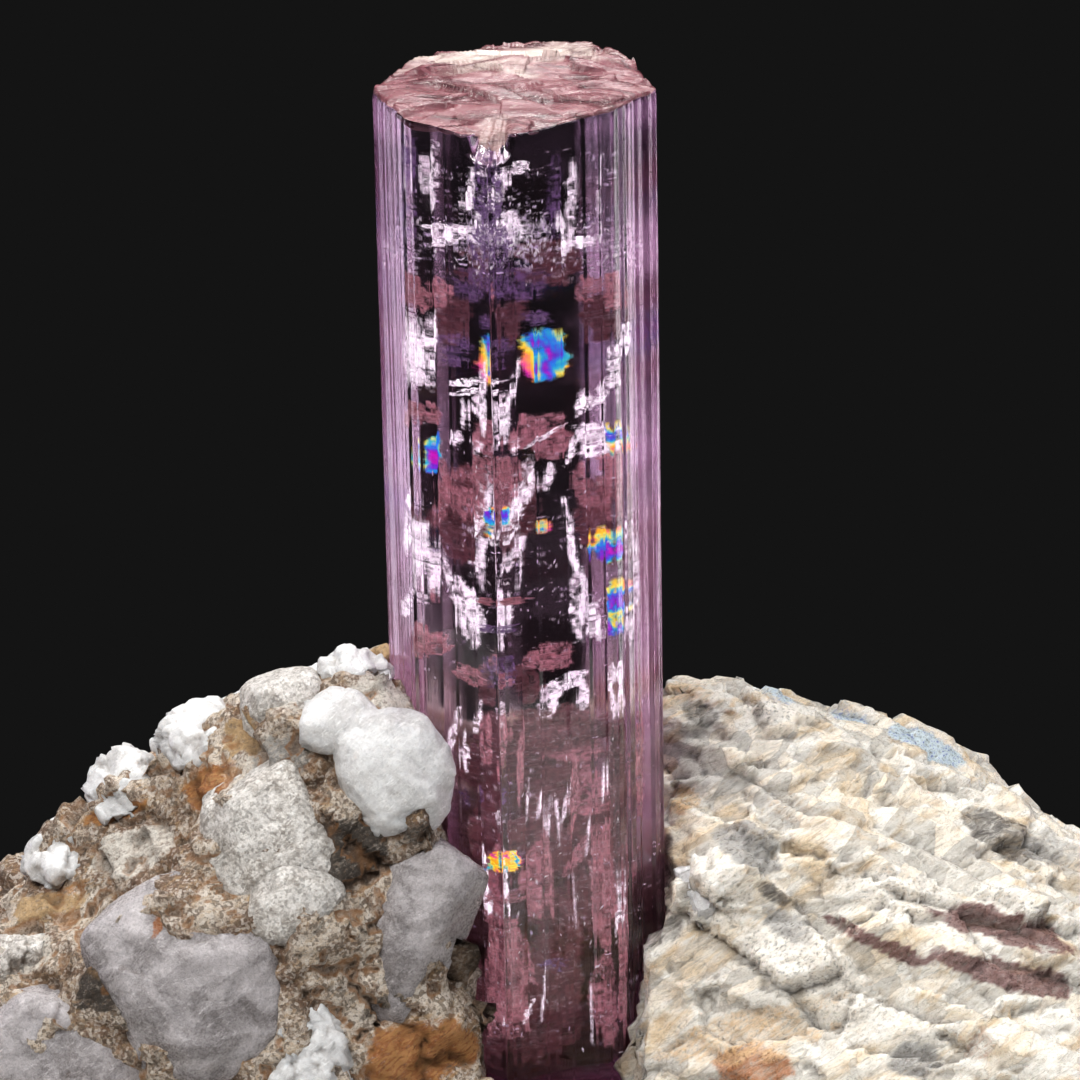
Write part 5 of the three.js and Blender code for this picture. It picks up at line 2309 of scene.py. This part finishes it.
HOST_ROCK = RockPiece(
    "host_rock",
    "host_rock",
    Relief(
        voxel=0.3, wear=2, swell=0.1, stretch=(1.3, 1.0, 0.9), turn=20, face_size=3.2,
        face_height=0.75, lump_size=2.0, lump_height=0.6, grit_size=0.6, grit_height=0.16,
    ),
    402,
    seam=(Stain.PALE, -5.0, 4.0),
    channel=Channel(),
    skyline=LEFT_SKYLINE,
    grown_round=tuple(lump.node for lump in LUMPS if lump.node != "white_quartz_pebble"),
    sunk=0.2,
    patches=patches_of({
        Stain.PALE: (
            (385, 690, 90, 70, 0, 0.8), (290, 700, 60, 40, 0, 0.8), (260, 770, 90, 90, 0, 0.7),
            (130, 850, 120, 60, -20, 0.8), (30, 955, 70, 60, -20, 0.8),
        ),
        Stain.GREY: (
            (285, 760, 70, 60, 0, 0.8), (200, 850, 160, 80, 0, 0.35), (120, 930, 40, 70, 0, 0.6),
            (455, 790, 40, 70, 0, 0.7),
        ),
        Stain.DARK: (
            (215, 780, 24, 22, 0, 0.6), (385, 1005, 60, 24, -30, 0.8),
            (300, 1000, 30, 50, 20, 0.5), (150, 1030, 120, 30, 25, 0.7),
            (350, 850, 80, 100, 10, 0.9), (425, 830, 50, 30, -20, 0.8),
            # The first patch below, at column 95 and row 990, is a painted shadow in a concave
            # hollow, not a stain.
            (95, 990, 70, 60, 0, 0.9), (470, 960, 30, 70, 0, 0.8),
        ),
        Stain.RUST: (
            (100, 950, 26, 60, 20, 0.6), (208, 785, 78, 50, -22, 1.0),
            (120, 812, 80, 20, -16, 0.9), (70, 890, 60, 18, -20, 0.7),
            (420, 1050, 160, 70, -6, 1.0), (465, 900, 30, 80, 0, 0.7),
            (235, 1050, 40, 60, -30, 0.6),
        ),
        Stain.TAN: (
            (380, 655, 60, 60, 0, 0.9), (425, 720, 110, 50, 40, 0.9),
            (245, 735, 60, 60, -40, 0.9), (45, 905, 100, 40, -10, 0.9),
            (255, 880, 30, 60, 0, 0.8),
        ),
        Stain.WINE: (
            (330, 960, 110, 70, -40, 0.45), (430, 1000, 80, 70, 0, 0.35),
        ),
    }),
)


# The studio


@dataclass(frozen=True)
class SoftLight:
    """A large soft light turned towards the crystal.

    Attributes:
        name: Its name.
        azimuth: Degrees round the object, 0 in front and 90 on the right.
        elevation: Degrees above the horizon.
        distance: Millimetres from the aim.
        width: Millimetres.
        height: Millimetres.
        power: Watts.
        tint: Its colour.
        aim: Height above the floor that it points at.
    """

    name: str
    azimuth: float
    elevation: float
    distance: float
    width: float
    height: float
    power: float
    tint: Colour = (1.0, 1.0, 1.0)
    aim: float = 25.0

    def place(self) -> None:
        """Makes the light, unseen by the camera."""
        data = bpy.data.lights.new(self.name, "AREA")
        data.shape = "RECTANGLE"
        data.size = self.width * MM
        data.size_y = self.height * MM
        data.energy = self.power
        data.color = self.tint
        light = bpy.data.objects.new(self.name, data)
        round_about = math.radians(self.azimuth)
        above = math.radians(self.elevation)
        back = Vector(
            (
                math.sin(round_about) * math.cos(above),
                -math.cos(round_about) * math.cos(above),
                math.sin(above),
            )
        )
        aim = Vector((SHIFT[0] * MM, SHIFT[1] * MM, self.aim * MM))
        light.location = aim + back * self.distance * MM
        light.rotation_mode = "QUATERNION"
        light.rotation_quaternion = (-back).to_track_quat("-Z", "Y")
        light.visible_camera = False
        bpy.context.scene.collection.objects.link(light)


LIGHTS: tuple[SoftLight, ...] = (
    SoftLight("key", -42, 58, 300, 120, 100, 0.84, (1.0, 0.985, 0.96)),
    SoftLight("fill", 55, 30, 320, 160, 160, 0.26, (0.96, 0.98, 1.0)),
    SoftLight("over", 165, 58, 280, 180, 120, 0.8, (1.0, 0.99, 0.97), 50),
    SoftLight("left_edge", -118, -8, 260, 50, 240, 0.11, (0.92, 0.83, 1.0), 30),
    SoftLight("right_edge", 112, -8, 260, 50, 240, 0.17, (1.0, 0.91, 0.98), 30),
)


@dataclass
class Studio:
    """The pale round floor, the lights and the surroundings.

    Attributes:
        radius: Of the floor.
        forward: How far its middle lies in front of the crystal.
        thickness: Of the floor.
        segments: Around it.
        surroundings: Grey of everything else.
        dimness: Strength of the surroundings' light.
        drop: How far the floor lies below the part, so that the two don't touch.
        bounces: How often light passes surfaces on its way.
    """

    radius: float = 60.0
    forward: float = 20.0
    thickness: float = 3.0
    segments: int = 180
    surroundings: float = 0.5
    dimness: float = 0.022
    drop: float = 0.03
    bounces: int = 14

    def build_floor(self) -> None:
        """Makes the floor.

        Formula: a profile of radii and heights is carried round an upright axis: flat
        out to the rim, a quarter-round edge, and flat back underneath.
        """
        bend = np.linspace(0, np.pi / 2, 10)
        round_edge = 1.2
        radii = np.concatenate(
            [
                [0.01, 12, 26, 40, self.radius - round_edge - 1],
                self.radius - round_edge + round_edge * np.sin(bend),
                [self.radius, self.radius - 2, 0.01],
            ]
        )
        heights = np.concatenate(
            [
                np.zeros(5),
                -round_edge * (1 - np.cos(bend)),
                [-self.thickness + 0.4, -self.thickness, -self.thickness],
            ]
        )
        turn = np.linspace(0, 2 * np.pi, self.segments, endpoint=False)
        circle = np.stack([np.cos(turn), np.sin(turn)], axis=1)
        points = np.concatenate(
            [
                np.column_stack([circle * radius, np.full(self.segments, height - self.drop)])
                for radius, height in zip(radii, heights)
            ]
        )
        points += np.array([SHIFT[0], SHIFT[1] - self.forward, 0.0])
        faces = grid_faces(len(radii), self.segments, wrapped=True)[:, ::-1]
        floor = mesh_object("studio_floor", points, faces)
        floor.data.materials.append(FloorFinish().material())

    def build(self) -> None:
        """Makes the floor, the lights and the dim surroundings."""
        self.build_floor()
        for light in LIGHTS:
            light.place()
        world = bpy.data.worlds.new("dim_studio")
        world.use_nodes = True
        background = world.node_tree.nodes["Background"]
        background.inputs["Color"].default_value = (self.surroundings,) * 3 + (1.0,)
        background.inputs["Strength"].default_value = self.dimness
        scene = bpy.context.scene
        scene.world = world
        scene.cycles.max_bounces = self.bounces
        scene.cycles.transmission_bounces = self.bounces
        scene.cycles.transparent_max_bounces = self.bounces
        scene.view_settings.view_transform = "Standard"
        scene.view_settings.look = "Medium High Contrast"


def main() -> None:
    """Builds the studio, the crystal and the rock in order, and reports each piece."""
    VIEWPOINT.place_camera()
    Studio().build()

    crystal = TopazCrystal()
    crystal.build()
    crystal.dress()
    log.info("crystal body: %d faces", len(crystal.body.data.polygons))

    veils = InnerVeils()
    veils.build()
    veils.dress()
    for piece in veils.pieces:
        log.info("%s: %d faces", piece.name, len(piece.data.polygons))

    quartz = {name: finish.material() for name, finish in QUARTZ_FINISHES.items()}
    rocks = [(lump, quartz[lump.slot]) for lump in LUMPS]
    rocks.append((MILKY_MASS, StreakedQuartzFinish().material()))
    rocks.append((HOST_ROCK, HostRockFinish().material()))
    for rock, material in rocks:
        rock.build()
        rock.dress(material)
        log.info("%s: %d faces", rock.node, len(rock.piece.data.polygons))


if __name__ == "__main__":
    logging.basicConfig(level=logging.INFO, format="%(message)s")
    main()
